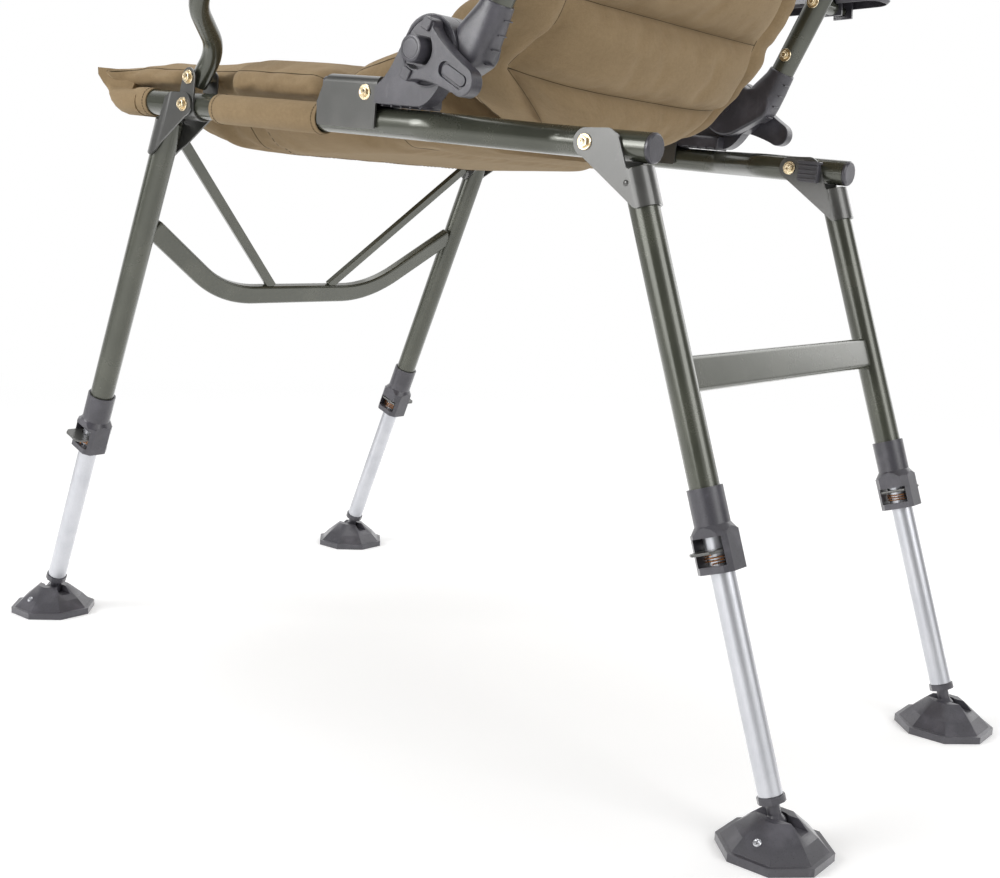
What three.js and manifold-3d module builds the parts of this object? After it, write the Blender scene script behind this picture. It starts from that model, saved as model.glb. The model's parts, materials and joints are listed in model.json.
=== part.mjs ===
// Folding reclining chair for the river bank: two tube rails on two folding leg frames,
// telescopic legs with lever clamps and swivel feet, a reclining padded back on two plastic
// hinges with clamping knobs, and armrests that stay level as the back moves.
// Millimetres, +Z up, the sitter faces -Y and has +X on the left.
import * as THREE from 'three';
import { mergeVertices } from 'three/addons/utils/BufferGeometryUtils.js';
import Module from 'manifold-3d';

const wasm = await Module();
wasm.setup();
const degrees = THREE.MathUtils.degToRad;

// Stance
const RAIL_PITCH = degrees(3.8);
const REAR_PIVOT_HEIGHT = 546.4;
const PIVOT_SPACING = 438;
const FRONT_HALF_WIDTH = 244;
const REAR_HALF_WIDTH = 181;
const FRONT_LEG_LEAN = degrees(22);
const REAR_LEG_LEAN = degrees(18.9);
const BACK_RECLINE = degrees(26.7);

// Tubes and running fits
const TUBE_RADIUS = 12.5;
const TUBE_WALL = 1.5;
const INNER_LEG_RADIUS = 10;
const INNER_LEG_WALL = 1.5;
const RUNNING_GAP = 0.35;
const BOLT_RADIUS = 3;
const BOLT_HOLE_GAP = 0.4;
const HEAD_RADIUS = 5.8;
const HEAD_HEIGHT = 4.4;
const CUT_OVERRUN = 1;
const ROUND_SIDES = 16;
const BORE_SIDES = 12;
const HEX_SIDES = 6;
const BEND_STEP = degrees(20);

// Seat frame, in the rail frame: origin at the rear pivots, +Y rearward along the rail
const RAIL_TAIL = 56;
const JOG_REAR = 40;
const JOG_FRONT = 127;
const JOG_BEND_RADIUS = 40;
const FRONT_BAR_REACH = 114;
const PLUG_DEPTH = 14;
const PLUG_FLANGE = 4;
const PLUG_BEVEL = 1.6;
const PLUG_WALL = 2.5;

// Folded plate brackets
const PLATE = 2;
const LEG_OFFSET = 33;
const EAR_RADIUS = 11.5;
const EAR_REACH = 32;
const EAR_DROP = 4;
const EAR_CORNER_REACH = 27;
const EAR_CORNER_RISE = 2.5;
const LEG_PLATE_DEPTH = 66;
const LEG_STOP_GAP = 0.6;
const JOGGLE_LENGTH = 6.5;

// Armrest bracket and upright
const ARM_PIVOT_BEHIND = 4;
const ARM_PIVOT_RISE = 26;
const ARM_EAR_RADIUS = 9.5;
const ARM_SADDLE_HALF = 12;
const UPRIGHT_RADIUS = 9.5;
const UPRIGHT_WALL = 1.5;
const UPRIGHT_HEEL = 6;
const UPRIGHT_STRAIGHT = 42;
const UPRIGHT_CRANK = 41;
const UPRIGHT_OUTSET = 49;
const UPRIGHT_TIP = 8;
const UPRIGHT_BEND_RADIUS = 34;
const ARM_PIN_RADIUS = 4;

// Recline hinge, in the rail frame
const HINGE_AHEAD = 119.2;
const HINGE_RISE = 59.4;
const DISC_RADIUS = 30;
const DISC_THICKNESS = 16;
const HINGE_SPLIT = 1.6;
const FOOT_HALF_WIDTH = 12.4;
const FOOT_LIFT = 14.5;
const FOOT_TOP = 35.5;
const FOOT_FRONT = 248;
const FOOT_REAR = 125;
const FOOT_RIB = 2.4;
const FOOT_RIB_PITCH = 11;
const FOOT_RIB_COUNT = 4;
const CLIP_FRONT = 251;
const CLIP_REAR = 178;
const CLIP_RAKE = 12;
const CLIP_DROP = 7;
const CLIP_CORNER = 7;
const STUD_RADIUS = 4;

// Hinge arm, in the back frame: origin on the recline axis, +Y rearward, +Z up the back
const BACK_OFFSET = 34;
const SOCKET_HALF_WIDTH = 16.5;
const SOCKET_HALF_DEPTH = 18;
const SOCKET_TOP = 60;
const SOCKET_FLOOR = 4;
const BACK_TUBE_START = 24;
const BACK_TUBE_TOP = 652;
const BACK_CORNER_RADIUS = 72;
const ARM_PIVOT_UP_BACK = 138;
const SPACER_RADIUS = 7.5;

// Recline knob
const KNOB_HUB_RADIUS = 11;
const KNOB_HUB_REACH = 22;
const KNOB_WING_THICKNESS = 13;
const KNOB_RECESS_RADIUS = 15.5;
const KNOB_RECESS_DEPTH = 8;
const KNOB_LOBE_REACH = 55;
const KNOB_LOBE_RADIUS = 12;
const KNOB_WING_SPAN = 22;
const KNOB_WING_TIP_RADIUS = 5.5;
const KNOB_REST_ANGLE = degrees(-29);
const KNOB_BEVEL = 1.5;

// Armrest
const ARMREST_WIDTH = 50;
const ARMREST_RIM_RISE = 3;
const ARMREST_TOP_RISE = 22;
const ARMREST_ROOF = 6;
const ARMREST_WALL = 4;
const ARMREST_REAR_OVERHANG = 55;
const ARMREST_FRONT_OVERHANG = 36;
const ARMREST_CORNER = 20;
const ARMREST_BEVEL = 3;
const RIB_THICKNESS = 3.5;
const RIB_BELOW_PIVOT = 8;
const RIB_END = 10.5;

// Legs, measured down the leg from the pivot's level
const FRONT_CLAMP_START = 345;
const REAR_CLAMP_START = 294;
const TELESCOPE_OVERLAP = 62;
const CLAMP_SLEEVE = 30;
const CLAMP_SHOULDER = 6;
const CLAMP_BOX = 32;
const CLAMP_WALL = 2.4;
const CLAMP_HALF_X = 15.5;
const CLAMP_HALF_Y = 17;
const CLAMP_CHAMFER = 6;
const CLAMP_STOP = 4;
const CHAMBER_HALF = 13.2;
const CHAMBER_LID = 3;
const CHAMBER_FLOOR = 6;
const SLOT_HEIGHT = 13;
const LOCK_PLATE = 2.5;
const LOCK_HOLE_GAP = 1.1;
const LOCK_TAB = 12;
const LOCK_TAB_CORNER = 4;
const SPRING_WIRE_RADIUS = 0.7;
const SPRING_RADIUS = 12.2;
const SPRING_CURLS = 3;
const SPRING_STEPS = 8;
const SPRING_SIDES = 5;

// Front brace and rear crossbar, measured down the leg from the pivot's level
const BRACE_END_DEPTH = 147;
const BRACE_LOW_DEPTH = 225;
const BRACE_CORNER_OUT = 117;
const BRACE_BEND_RADIUS = 110;
const BRACE_HEIGHT = 20;
const BRACE_THICKNESS = 11;
const BAR_WALL = 1.3;
const BAR_CORNER = 4;
const STRUT_WIDTH = 11;
const STRUT_THICKNESS = 6;
const STRUT_TOP_DEPTH = 46;
const STRUT_FOOT_OUT = 46;
const CROSSBAR_DEPTH = 203;
const CROSSBAR_HEIGHT = 30;
const CROSSBAR_THICKNESS = 12;

// Ankles and feet
const ANKLE_COLLAR_RADIUS = 11.5;
const ANKLE_COLLAR = 6;
const ANKLE_NECK_RADIUS = 5.6;
const ANKLE_PLUG = 15;
const BALL_RADIUS = 8.6;
const BALL_DROP = 22;
const BALL_HEIGHT = 24;
const FOOT_RADIUS = 47;
const FOOT_RIM = 7;
const FOOT_RIM_STEP = 3;
const FOOT_DOME_RADIUS = 33;
const FOOT_DOME_HEIGHT = 17;
const FOOT_CROWN_RADIUS = 17;
const FOOT_CROWN_RISE = 6;
const FOOT_PIN_RADIUS = 2;
const FOOT_SLOT_REACH = 30;
const FOOT_SLOT_DEPTH = 8;
const OCTAGON_SIDES = 8;

// Cushions
const SEAT_FRONT = 590;
const SEAT_REAR = 150;
const SEAT_TOP = 44;
const SEAT_CROWN = 6;
const SEAT_SAG = 15;
const SEAT_SHOULDER = 13.3;
const SEAT_NOSE = 20;
const SEAT_SIDE_INSET = 6;
const SEAT_BOLT_GAP = 5.4;
const SEAT_TONGUE_TOP = 13;
const SEAT_TONGUE_GAP = 10.5;
const SEAT_INSET = 12;
const SEAT_SLOPE = 30;
const SEAT_SEAM = 262;
const SEAT_BOLSTER_RISE = 17;
const SEAT_BOLSTER_RUN = 70;
const SEAT_SEAM_DEPTH = 7;
const SEAT_STATIONS = 21;
const ROLL_RADIUS = 56;
const ROLL_TAPER_SHARE = 0.5;
const ROLL_TAPER_POWER = 2.2;
const ROLL_GAP = 1.5;
const BACK_FRONT_FACE = 12;
const BACK_REAR_FACE = 46;
const BACK_SIDE_DEPTH = 14;
const BACK_FACE_CROWN = 1.6;
const BACK_SIDE_INSET = 42;
const BACK_CHANNEL_PITCH = 75;
const BACK_CHANNELS = 8;
const BACK_CHANNEL_DEPTH = 9;
const BACK_RINGS_PER_CHANNEL = 4;
const BACK_ROLL_ANGLES = [-80, -55, -28].map(degrees);
const FACE_FLAT_SHARE = 0.7;
const CROWN_SHARE = 0.75;

const tube = { outer: TUBE_RADIUS, inner: TUBE_RADIUS - TUBE_WALL };
const finishes = {
  olive: { color: 0x3d4136, roughness: 0.38, metalness: 0.35 },
  plate: { color: 0x4a4d45, roughness: 0.42, metalness: 0.4 },
  aluminium: { color: 0xd7d9dc, roughness: 0.32, metalness: 0.9 },
  plastic: { color: 0x34363a, roughness: 0.55, metalness: 0 },
  brass: { color: 0xc9a55a, roughness: 0.3, metalness: 0.9 },
  spring: { color: 0xa8764a, roughness: 0.4, metalness: 0.8 },
  cloth: { color: 0x8b7a5e, roughness: 0.95, metalness: 0 },
};

// Closed mesh with shared vertices merged, ready for joins, cuts and export.
function welded(geometry) {
  const bare = geometry.clone();
  bare.deleteAttribute('normal');
  bare.deleteAttribute('uv');
  return mergeVertices(bare, 1e-4);
}

function toSolid(geometry) {
  const mesh = welded(geometry);
  return new wasm.Manifold(new wasm.Mesh({
    numProp: 3,
    vertProperties: new Float32Array(mesh.attributes.position.array),
    triVerts: new Uint32Array(mesh.index.array),
  }));
}

function toGeometry(solid) {
  const mesh = solid.getMesh();
  const geometry = new THREE.BufferGeometry();
  geometry.setAttribute('position', new THREE.BufferAttribute(mesh.vertProperties, 3));
  geometry.setIndex(new THREE.BufferAttribute(mesh.triVerts, 1));
  return geometry;
}

function join(...geometries) {
  return toGeometry(geometries.map(toSolid).reduce((whole, piece) => whole.add(piece)));
}

function cut(geometry, ...tools) {
  return toGeometry(tools.map(toSolid).reduce((rest, tool) => rest.subtract(tool), toSolid(geometry)));
}

function common(first, second) {
  return toGeometry(toSolid(first).intersect(toSolid(second)));
}

function moved(geometry, x, y, z) {
  return geometry.translate(x, y, z);
}

// Box between two corners.
function block(x0, y0, z0, x1, y1, z1) {
  const box = new THREE.BoxGeometry(x1 - x0, y1 - y0, z1 - z0);
  return moved(box, (x0 + x1) / 2, (y0 + y1) / 2, (z0 + z1) / 2);
}

// Rod from x0 to x1 along X, centred on (y, z).
function rodX(radius, x0, x1, y, z, sides = ROUND_SIDES) {
  const rod = new THREE.CylinderGeometry(radius, radius, x1 - x0, sides);
  return moved(rod.rotateZ(Math.PI / 2), (x0 + x1) / 2, y, z);
}

// Rod from z0 to z1 along Z, centred on (x, y).
function rodZ(radius, z0, z1, x, y, sides = ROUND_SIDES) {
  const rod = new THREE.CylinderGeometry(radius, radius, z1 - z0, sides);
  return moved(rod.rotateX(Math.PI / 2), x, y, (z0 + z1) / 2);
}

// Radius at whose corners a polygon's flats clear a round of the given radius.
function boreRadius(radius, sides = ROUND_SIDES) {
  return radius / Math.cos(Math.PI / sides);
}

// Shape in the YZ plane extruded along X from x0 to x1.
function extrudeX(shape, x0, x1, bevel = 0) {
  const solid = new THREE.ExtrudeGeometry(shape, {
    depth: x1 - x0 - 2 * bevel,
    bevelEnabled: bevel > 0,
    bevelThickness: bevel,
    bevelSize: bevel,
    bevelOffset: -bevel,
    bevelSegments: 1,
    curveSegments: 4,
  });
  const turn = new THREE.Matrix4().makeBasis(
    new THREE.Vector3(0, 1, 0), new THREE.Vector3(0, 0, 1), new THREE.Vector3(1, 0, 0));
  return moved(solid.applyMatrix4(turn), x0 + bevel, 0, 0);
}

// Shape in the XZ plane extruded along Y from y0 to y1.
function extrudeY(shape, y0, y1) {
  const solid = new THREE.ExtrudeGeometry(shape, { depth: y1 - y0, bevelEnabled: false, curveSegments: 6 });
  return moved(solid.rotateX(Math.PI / 2), 0, y1, 0);
}

// Shape in the XY plane extruded along Z from z0 to z1.
function extrudeZ(shape, z0, z1, bevel = 0) {
  const solid = new THREE.ExtrudeGeometry(shape, {
    depth: z1 - z0 - 2 * bevel,
    bevelEnabled: bevel > 0,
    bevelThickness: bevel,
    bevelSize: bevel,
    bevelOffset: -bevel,
    bevelSegments: 1,
    curveSegments: 4,
  });
  return moved(solid, 0, 0, z0 + bevel);
}

function polygonShape(points) {
  return new THREE.Shape(points.map(([a, b]) => new THREE.Vector2(a, b)));
}

function circlePoints(radius, sides, start = 0) {
  return Array.from({ length: sides }, (_, i) => {
    const angle = start + (i / sides) * 2 * Math.PI;
    return new THREE.Vector2(radius * Math.cos(angle), radius * Math.sin(angle));
  });
}

function ringSection(outer, inner, outerSides = ROUND_SIDES, innerSides = BORE_SIDES) {
  const section = new THREE.Shape(circlePoints(outer, outerSides));
  section.holes.push(new THREE.Path(circlePoints(inner, innerSides).reverse()));
  return section;
}

// Hollow rectangle with rounded corners, width along the first axis.
function boxSection(width, height, corner, wall) {
  const outline = (a, b, r) => {
    const path = new THREE.Path();
    path.absarc(a - r, b - r, r, 0, Math.PI / 2, false);
    path.absarc(r - a, b - r, r, Math.PI / 2, Math.PI, false);
    path.absarc(r - a, r - b, r, Math.PI, 1.5 * Math.PI, false);
    path.absarc(a - r, r - b, r, 1.5 * Math.PI, 2 * Math.PI, false);
    return path.getPoints(2);
  };
  const section = new THREE.Shape(outline(width / 2, height / 2, corner));
  const hole = outline(width / 2 - wall, height / 2 - wall, Math.max(corner - wall, wall));
  section.holes.push(new THREE.Path(hole.reverse()));
  return section;
}

// Flat bent run: straight lines between corners, each corner rounded to its radius.
class BentRun extends THREE.Curve {
  constructor(corners, radius, normal) {
    super();
    this.normal = normal;
    this.stations = BentRun.rounded(corners, radius);
  }

  static rounded(corners, radius) {
    const stations = [corners[0]];
    for (let i = 1; i < corners.length - 1; i += 1) {
      const back = corners[i - 1].clone().sub(corners[i]).normalize();
      const ahead = corners[i + 1].clone().sub(corners[i]).normalize();
      const turn = Math.PI - back.angleTo(ahead);
      const reach = radius * Math.tan(turn / 2);
      const middle = back.clone().add(ahead).normalize();
      const centre = corners[i].clone().addScaledVector(middle, radius / Math.cos(turn / 2));
      const from = corners[i].clone().addScaledVector(back, reach).sub(centre);
      const axis = new THREE.Vector3().crossVectors(ahead, back).normalize();
      const steps = Math.ceil(turn / BEND_STEP);
      for (let k = 0; k <= steps; k += 1) {
        stations.push(from.clone().applyAxisAngle(axis, (turn * k) / steps).add(centre));
      }
    }
    stations.push(corners.at(-1));
    return stations;
  }

  getSpacedPoints() {
    return this.stations;
  }

  computeFrenetFrames() {
    const last = this.stations.length - 1;
    const tangents = this.stations.map((point, i) => this.stations[Math.min(i + 1, last)].clone()
      .sub(this.stations[Math.max(i - 1, 0)]).normalize());
    tangents[0] = this.stations[1].clone().sub(this.stations[0]).normalize();
    tangents[last] = this.stations[last].clone().sub(this.stations[last - 1]).normalize();
    return {
      tangents,
      normals: tangents.map(() => this.normal.clone()),
      binormals: tangents.map((tangent) => tangent.clone().cross(this.normal)),
    };
  }
}

function bentBar(section, corners, radius, normal) {
  const run = new BentRun(corners, radius, normal);
  return new THREE.ExtrudeGeometry(section, {
    steps: run.stations.length - 1,
    extrudePath: run,
    bevelEnabled: false,
  });
}

const meshes = [];

function piece(group, name, geometry, finish, place = [0, 0, 0]) {
  const mesh = new THREE.Mesh(welded(geometry), new THREE.MeshStandardMaterial(finishes[finish]));
  mesh.name = name;
  mesh.position.set(...place);
  group.add(mesh);
  meshes.push(mesh);
  return mesh;
}

// The same solid on both sides of the chair, the right one a mirror image of the left.
function pair(group, name, build, finish) {
  piece(group, `${name}_left`, build(), finish);
  piece(group, `${name}_right`, mirrored(build()), finish);
}

function mirrored(geometry) {
  const mesh = geometry.index ? geometry.toNonIndexed() : geometry;
  const from = mesh.attributes.position;
  const position = new THREE.BufferAttribute(new Float32Array(3 * from.count), 3);
  for (let corner = 0; corner < from.count; corner += 3) {
    [corner, corner + 2, corner + 1].forEach((source, i) => {
      position.setXYZ(corner + i, -from.getX(source), from.getY(source), from.getZ(source));
    });
  }
  return new THREE.BufferGeometry().setAttribute('position', position);
}

// Hex bolt along X with its nut, gripping from x0 to x1.
function hexBolt(x0, x1, y, z) {
  return join(
    rodX(BOLT_RADIUS, x0 - HEAD_HEIGHT / 2, x1 + HEAD_HEIGHT / 2, y, z, BORE_SIDES),
    rodX(HEAD_RADIUS, x1, x1 + HEAD_HEIGHT, y, z, HEX_SIDES),
    rodX(HEAD_RADIUS, x0 - HEAD_HEIGHT, x0, y, z, HEX_SIDES),
  );
}

function boltHole(x0, x1, y, z) {
  const radius = boreRadius(BOLT_RADIUS + BOLT_HOLE_GAP, BORE_SIDES);
  return rodX(radius, x0 - CUT_OVERRUN, x1 + CUT_OVERRUN, y, z, BORE_SIDES);
}

const SADDLE_INNER = TUBE_RADIUS + RUNNING_GAP;
const SADDLE_OUTER = SADDLE_INNER + PLATE;
const FRONT_EAR_INNER = SADDLE_OUTER + RUNNING_GAP;
const REAR_EAR_INNER = TUBE_RADIUS + RUNNING_GAP;
const FRONT_BOLT_GRIP = FRONT_EAR_INNER + PLATE + RUNNING_GAP;
const REAR_BOLT_GRIP = REAR_EAR_INNER + PLATE + RUNNING_GAP;
const ARM_PIVOT_Y = -PIVOT_SPACING + ARM_PIVOT_BEHIND;
const FRONT_BAR_Y = -PIVOT_SPACING - FRONT_BAR_REACH;

function seatFrameTube() {
  const corner = (x, y) => new THREE.Vector3(x, y, 0);
  const frame = bentBar(ringSection(tube.outer, tube.inner), [
    corner(REAR_HALF_WIDTH, RAIL_TAIL),
    corner(REAR_HALF_WIDTH, -JOG_REAR),
    corner(FRONT_HALF_WIDTH, -JOG_FRONT),
    corner(FRONT_HALF_WIDTH, FRONT_BAR_Y),
    corner(-FRONT_HALF_WIDTH, FRONT_BAR_Y),
    corner(-FRONT_HALF_WIDTH, -JOG_FRONT),
    corner(-REAR_HALF_WIDTH, -JOG_REAR),
    corner(-REAR_HALF_WIDTH, RAIL_TAIL),
  ], JOG_BEND_RADIUS, new THREE.Vector3(0, 0, 1));
  const holes = [];
  for (const side of [1, -1]) {
    for (const [x, y] of [[FRONT_HALF_WIDTH, -PIVOT_SPACING], [REAR_HALF_WIDTH, 0]]) {
      holes.push(boltHole(side * x - tube.outer, side * x + tube.outer, y, 0));
    }
  }
  return cut(frame, ...holes);
}

function railEndPlug() {
  const shank = tube.inner * Math.cos(Math.PI / BORE_SIDES) - RUNNING_GAP;
  const face = RAIL_TAIL + RUNNING_GAP;
  const profile = [
    [0, -PLUG_DEPTH], [shank - PLUG_WALL, -PLUG_DEPTH], [shank, -PLUG_DEPTH + PLUG_WALL], [shank, 0],
    [tube.outer, 0], [tube.outer, PLUG_FLANGE - PLUG_BEVEL], [tube.outer - PLUG_BEVEL, PLUG_FLANGE],
    [0, PLUG_FLANGE],
  ];
  const plug = new THREE.LatheGeometry(profile.map(([r, h]) => new THREE.Vector2(r, h)), ROUND_SIDES);
  return moved(plug, REAR_HALF_WIDTH, face, 0);
}

// Plate bent to a U in plan round the leg, trimmed to its side outline. Local frame: origin on
// the pivot, +Y towards the leg tube, -Z down the leg, X across.
function legBracket(earInner, railAngle) {
  const earOuter = earInner + PLATE;
  const wrapInner = TUBE_RADIUS + RUNNING_GAP;
  const wrapOuter = wrapInner + PLATE;
  const outline = (ear, wrap) => {
    const points = [[ear, -EAR_RADIUS - CUT_OVERRUN], [ear, LEG_OFFSET - 2 * JOGGLE_LENGTH],
      [wrap, LEG_OFFSET - JOGGLE_LENGTH]];
    for (let i = 0; i <= ROUND_SIDES / 2; i += 1) {
      const angle = (i / (ROUND_SIDES / 2)) * Math.PI;
      points.push([wrap * Math.cos(angle), LEG_OFFSET + wrap * Math.sin(angle)]);
    }
    points.push([-wrap, LEG_OFFSET - JOGGLE_LENGTH], [-ear, LEG_OFFSET - 2 * JOGGLE_LENGTH],
      [-ear, -EAR_RADIUS - CUT_OVERRUN]);
    return points;
  };
  const sheet = polygonShape([...outline(earOuter, wrapOuter), ...outline(earInner, wrapInner).reverse()]);
  const plan = extrudeZ(sheet, -LEG_PLATE_DEPTH, EAR_RADIUS + CUT_OVERRUN);
  const reach = LEG_OFFSET + wrapOuter;
  const stop = reach * Math.tan(railAngle) + TUBE_RADIUS / Math.cos(railAngle) + LEG_STOP_GAP;
  const side = new THREE.Shape();
  side.absarc(0, 0, EAR_RADIUS, degrees(235), degrees(75), true);
  side.lineTo(EAR_CORNER_REACH, EAR_CORNER_RISE);
  side.lineTo(EAR_REACH, -EAR_DROP);
  side.lineTo(LEG_OFFSET, -stop + PLATE);
  side.lineTo(LEG_OFFSET + PLATE, -stop);
  side.lineTo(reach + CUT_OVERRUN, -stop);
  side.lineTo(reach + CUT_OVERRUN, -LEG_PLATE_DEPTH);
  side.lineTo(LEG_OFFSET, -LEG_PLATE_DEPTH);
  const bracket = common(plan, extrudeX(side, -earOuter - CUT_OVERRUN, earOuter + CUT_OVERRUN));
  return cut(bracket, boltHole(-earOuter, earOuter, 0, 0));
}

// Saddle under the rail whose ears carry the armrest upright.
function armrestBracket() {
  const top = ARM_PIVOT_RISE + ARM_EAR_RADIUS + CUT_OVERRUN;
  const outline = (radius) => {
    const points = [[radius, top]];
    for (let i = 0; i <= ROUND_SIDES / 2; i += 1) {
      const angle = -(i / (ROUND_SIDES / 2)) * Math.PI;
      points.push([radius * Math.cos(angle), radius * Math.sin(angle)]);
    }
    points.push([-radius, top]);
    return points;
  };
  const inner = boreRadius(SADDLE_INNER);
  const section = polygonShape([...outline(SADDLE_OUTER), ...outline(inner).reverse()]);
  const bottom = SADDLE_OUTER + CUT_OVERRUN;
  const plate = extrudeY(section, -ARM_SADDLE_HALF - ARM_EAR_RADIUS, ARM_SADDLE_HALF + ARM_EAR_RADIUS);
  const side = new THREE.Shape();
  side.moveTo(-ARM_SADDLE_HALF, -bottom);
  side.lineTo(ARM_SADDLE_HALF, -bottom);
  side.lineTo(ARM_SADDLE_HALF, 0);
  side.absarc(ARM_PIVOT_BEHIND, ARM_PIVOT_RISE, ARM_EAR_RADIUS, 0, Math.PI, false);
  side.lineTo(-ARM_SADDLE_HALF, 0);
  const saddle = common(plate, extrudeX(side, -SADDLE_OUTER - CUT_OVERRUN, SADDLE_OUTER + CUT_OVERRUN));
  const bracket = cut(saddle, boltHole(-SADDLE_OUTER, SADDLE_OUTER, 0, 0),
    boltHole(-SADDLE_OUTER, SADDLE_OUTER, ARM_PIVOT_BEHIND, ARM_PIVOT_RISE));
  return moved(bracket, FRONT_HALF_WIDTH, -PIVOT_SPACING, 0);
}

// Sheet folded over the hinge foot and down both sides of the rail.
function hingeClip() {
  const inner = FOOT_HALF_WIDTH + 2 * RUNNING_GAP;
  const roof = FOOT_TOP + RUNNING_GAP;
  const outline = (half, top, corner) => {
    const path = new THREE.Path();
    path.moveTo(half, -CLIP_DROP);
    path.absarc(half - corner, top - corner, corner, 0, Math.PI / 2, false);
    path.absarc(corner - half, top - corner, corner, Math.PI / 2, Math.PI, false);
    path.lineTo(-half, -CLIP_DROP);
    return path.getPoints(3);
  };
  const outer = outline(inner + PLATE, roof + PLATE, CLIP_CORNER);
  const hollow = outline(inner, roof, CLIP_CORNER - PLATE);
  const sheet = extrudeY(new THREE.Shape([...outer, ...hollow.reverse()]), -CLIP_FRONT, -CLIP_REAR);
  const side = polygonShape([
    [-CLIP_FRONT, -CLIP_DROP - CUT_OVERRUN], [-CLIP_REAR + CUT_OVERRUN, -CLIP_DROP - CUT_OVERRUN],
    [-CLIP_REAR + CUT_OVERRUN, roof + PLATE + CUT_OVERRUN],
    [-CLIP_FRONT + CLIP_RAKE, roof + PLATE + CUT_OVERRUN],
    [-CLIP_FRONT, TUBE_RADIUS],
  ]);
  const half = inner + PLATE + CUT_OVERRUN;
  return moved(common(sheet, extrudeX(side, -half, half)), FRONT_HALF_WIDTH, 0, 0);
}

// Moulded foot of the recline hinge: a bar under the clip and the outer disc, side at +X.
function hingeFoot() {
  const split = HINGE_SPLIT + RUNNING_GAP / 2;
  const edge = CLIP_CORNER - PLATE;
  const across = new THREE.Shape();
  across.moveTo(-FOOT_HALF_WIDTH, FOOT_LIFT);
  across.lineTo(FOOT_HALF_WIDTH, FOOT_LIFT);
  across.absarc(FOOT_HALF_WIDTH - edge, FOOT_TOP - edge, edge, 0, Math.PI / 2, false);
  across.absarc(edge - FOOT_HALF_WIDTH, FOOT_TOP - edge, edge, Math.PI / 2, Math.PI, false);
  const bar = extrudeY(across, -FOOT_FRONT, -FOOT_REAR);
  const cheek = new THREE.Shape();
  cheek.moveTo(-CLIP_REAR + RUNNING_GAP, FOOT_LIFT);
  cheek.lineTo(-FOOT_REAR, FOOT_LIFT);
  cheek.absarc(-HINGE_AHEAD, HINGE_RISE, DISC_RADIUS, degrees(-49), degrees(138), false);
  cheek.lineTo(-CLIP_REAR + RUNNING_GAP, FOOT_TOP);
  const outer = extrudeX(cheek, split, split + DISC_THICKNESS);
  const ribs = Array.from({ length: FOOT_RIB_COUNT }, (_, i) => {
    const y = -FOOT_REAR - FOOT_RIB - i * FOOT_RIB_PITCH;
    const low = tube.outer + RUNNING_GAP;
    return block(-FOOT_HALF_WIDTH, y - FOOT_RIB, low, FOOT_HALF_WIDTH, y, FOOT_LIFT + FOOT_RIB);
  });
  const relief = rodX(boreRadius(DISC_RADIUS + RUNNING_GAP + BOLT_HOLE_GAP, 2 * ROUND_SIDES),
    -FOOT_HALF_WIDTH - CUT_OVERRUN, split, -HINGE_AHEAD, HINGE_RISE, 2 * ROUND_SIDES);
  const outside = split + DISC_THICKNESS + CUT_OVERRUN;
  const studRadius = boreRadius(STUD_RADIUS + RUNNING_GAP, BORE_SIDES);
  const stud = rodX(studRadius, 0, outside, -HINGE_AHEAD, HINGE_RISE, BORE_SIDES);
  return moved(cut(join(bar, outer, ...ribs), relief, stud), FRONT_HALF_WIDTH, 0, 0);
}

// Moulded arm of the recline hinge: the inner disc and the socket of the back tube.
function hingeArm() {
  const split = HINGE_SPLIT - RUNNING_GAP / 2;
  const front = BACK_OFFSET - SOCKET_HALF_DEPTH;
  const rear = BACK_OFFSET + SOCKET_HALF_DEPTH;
  const elbow = new THREE.Shape();
  elbow.moveTo(rear, SOCKET_TOP);
  elbow.lineTo(front, SOCKET_TOP);
  elbow.absarc(0, 0, DISC_RADIUS, degrees(62), degrees(-56), false);
  elbow.lineTo(rear, -SOCKET_FLOOR);
  const inner = extrudeX(elbow, -SOCKET_HALF_WIDTH, split);
  const socket = new THREE.Shape();
  socket.moveTo(front, 0);
  socket.lineTo(rear, -SOCKET_FLOOR);
  socket.lineTo(rear, SOCKET_TOP);
  socket.lineTo(front, SOCKET_TOP);
  const clearRadius = boreRadius(DISC_RADIUS + RUNNING_GAP + BOLT_HOLE_GAP, 2 * ROUND_SIDES);
  const clear = rodX(clearRadius, split, SOCKET_HALF_WIDTH + CUT_OVERRUN, 0, 0, 2 * ROUND_SIDES);
  const outer = cut(extrudeX(socket, split - PLATE, SOCKET_HALF_WIDTH), clear);
  const bore = rodZ(boreRadius(TUBE_RADIUS + RUNNING_GAP), BACK_TUBE_START - RUNNING_GAP,
    SOCKET_TOP + CUT_OVERRUN, 0, BACK_OFFSET);
  const stud = rodX(boreRadius(STUD_RADIUS + RUNNING_GAP, BORE_SIDES), -SOCKET_HALF_WIDTH - CUT_OVERRUN,
    split + CUT_OVERRUN, 0, 0, BORE_SIDES);
  return moved(cut(join(inner, outer), bore, stud), FRONT_HALF_WIDTH, 0, 0);
}

const KNOB_BASE = HINGE_SPLIT + DISC_THICKNESS + 2 * RUNNING_GAP;

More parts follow.
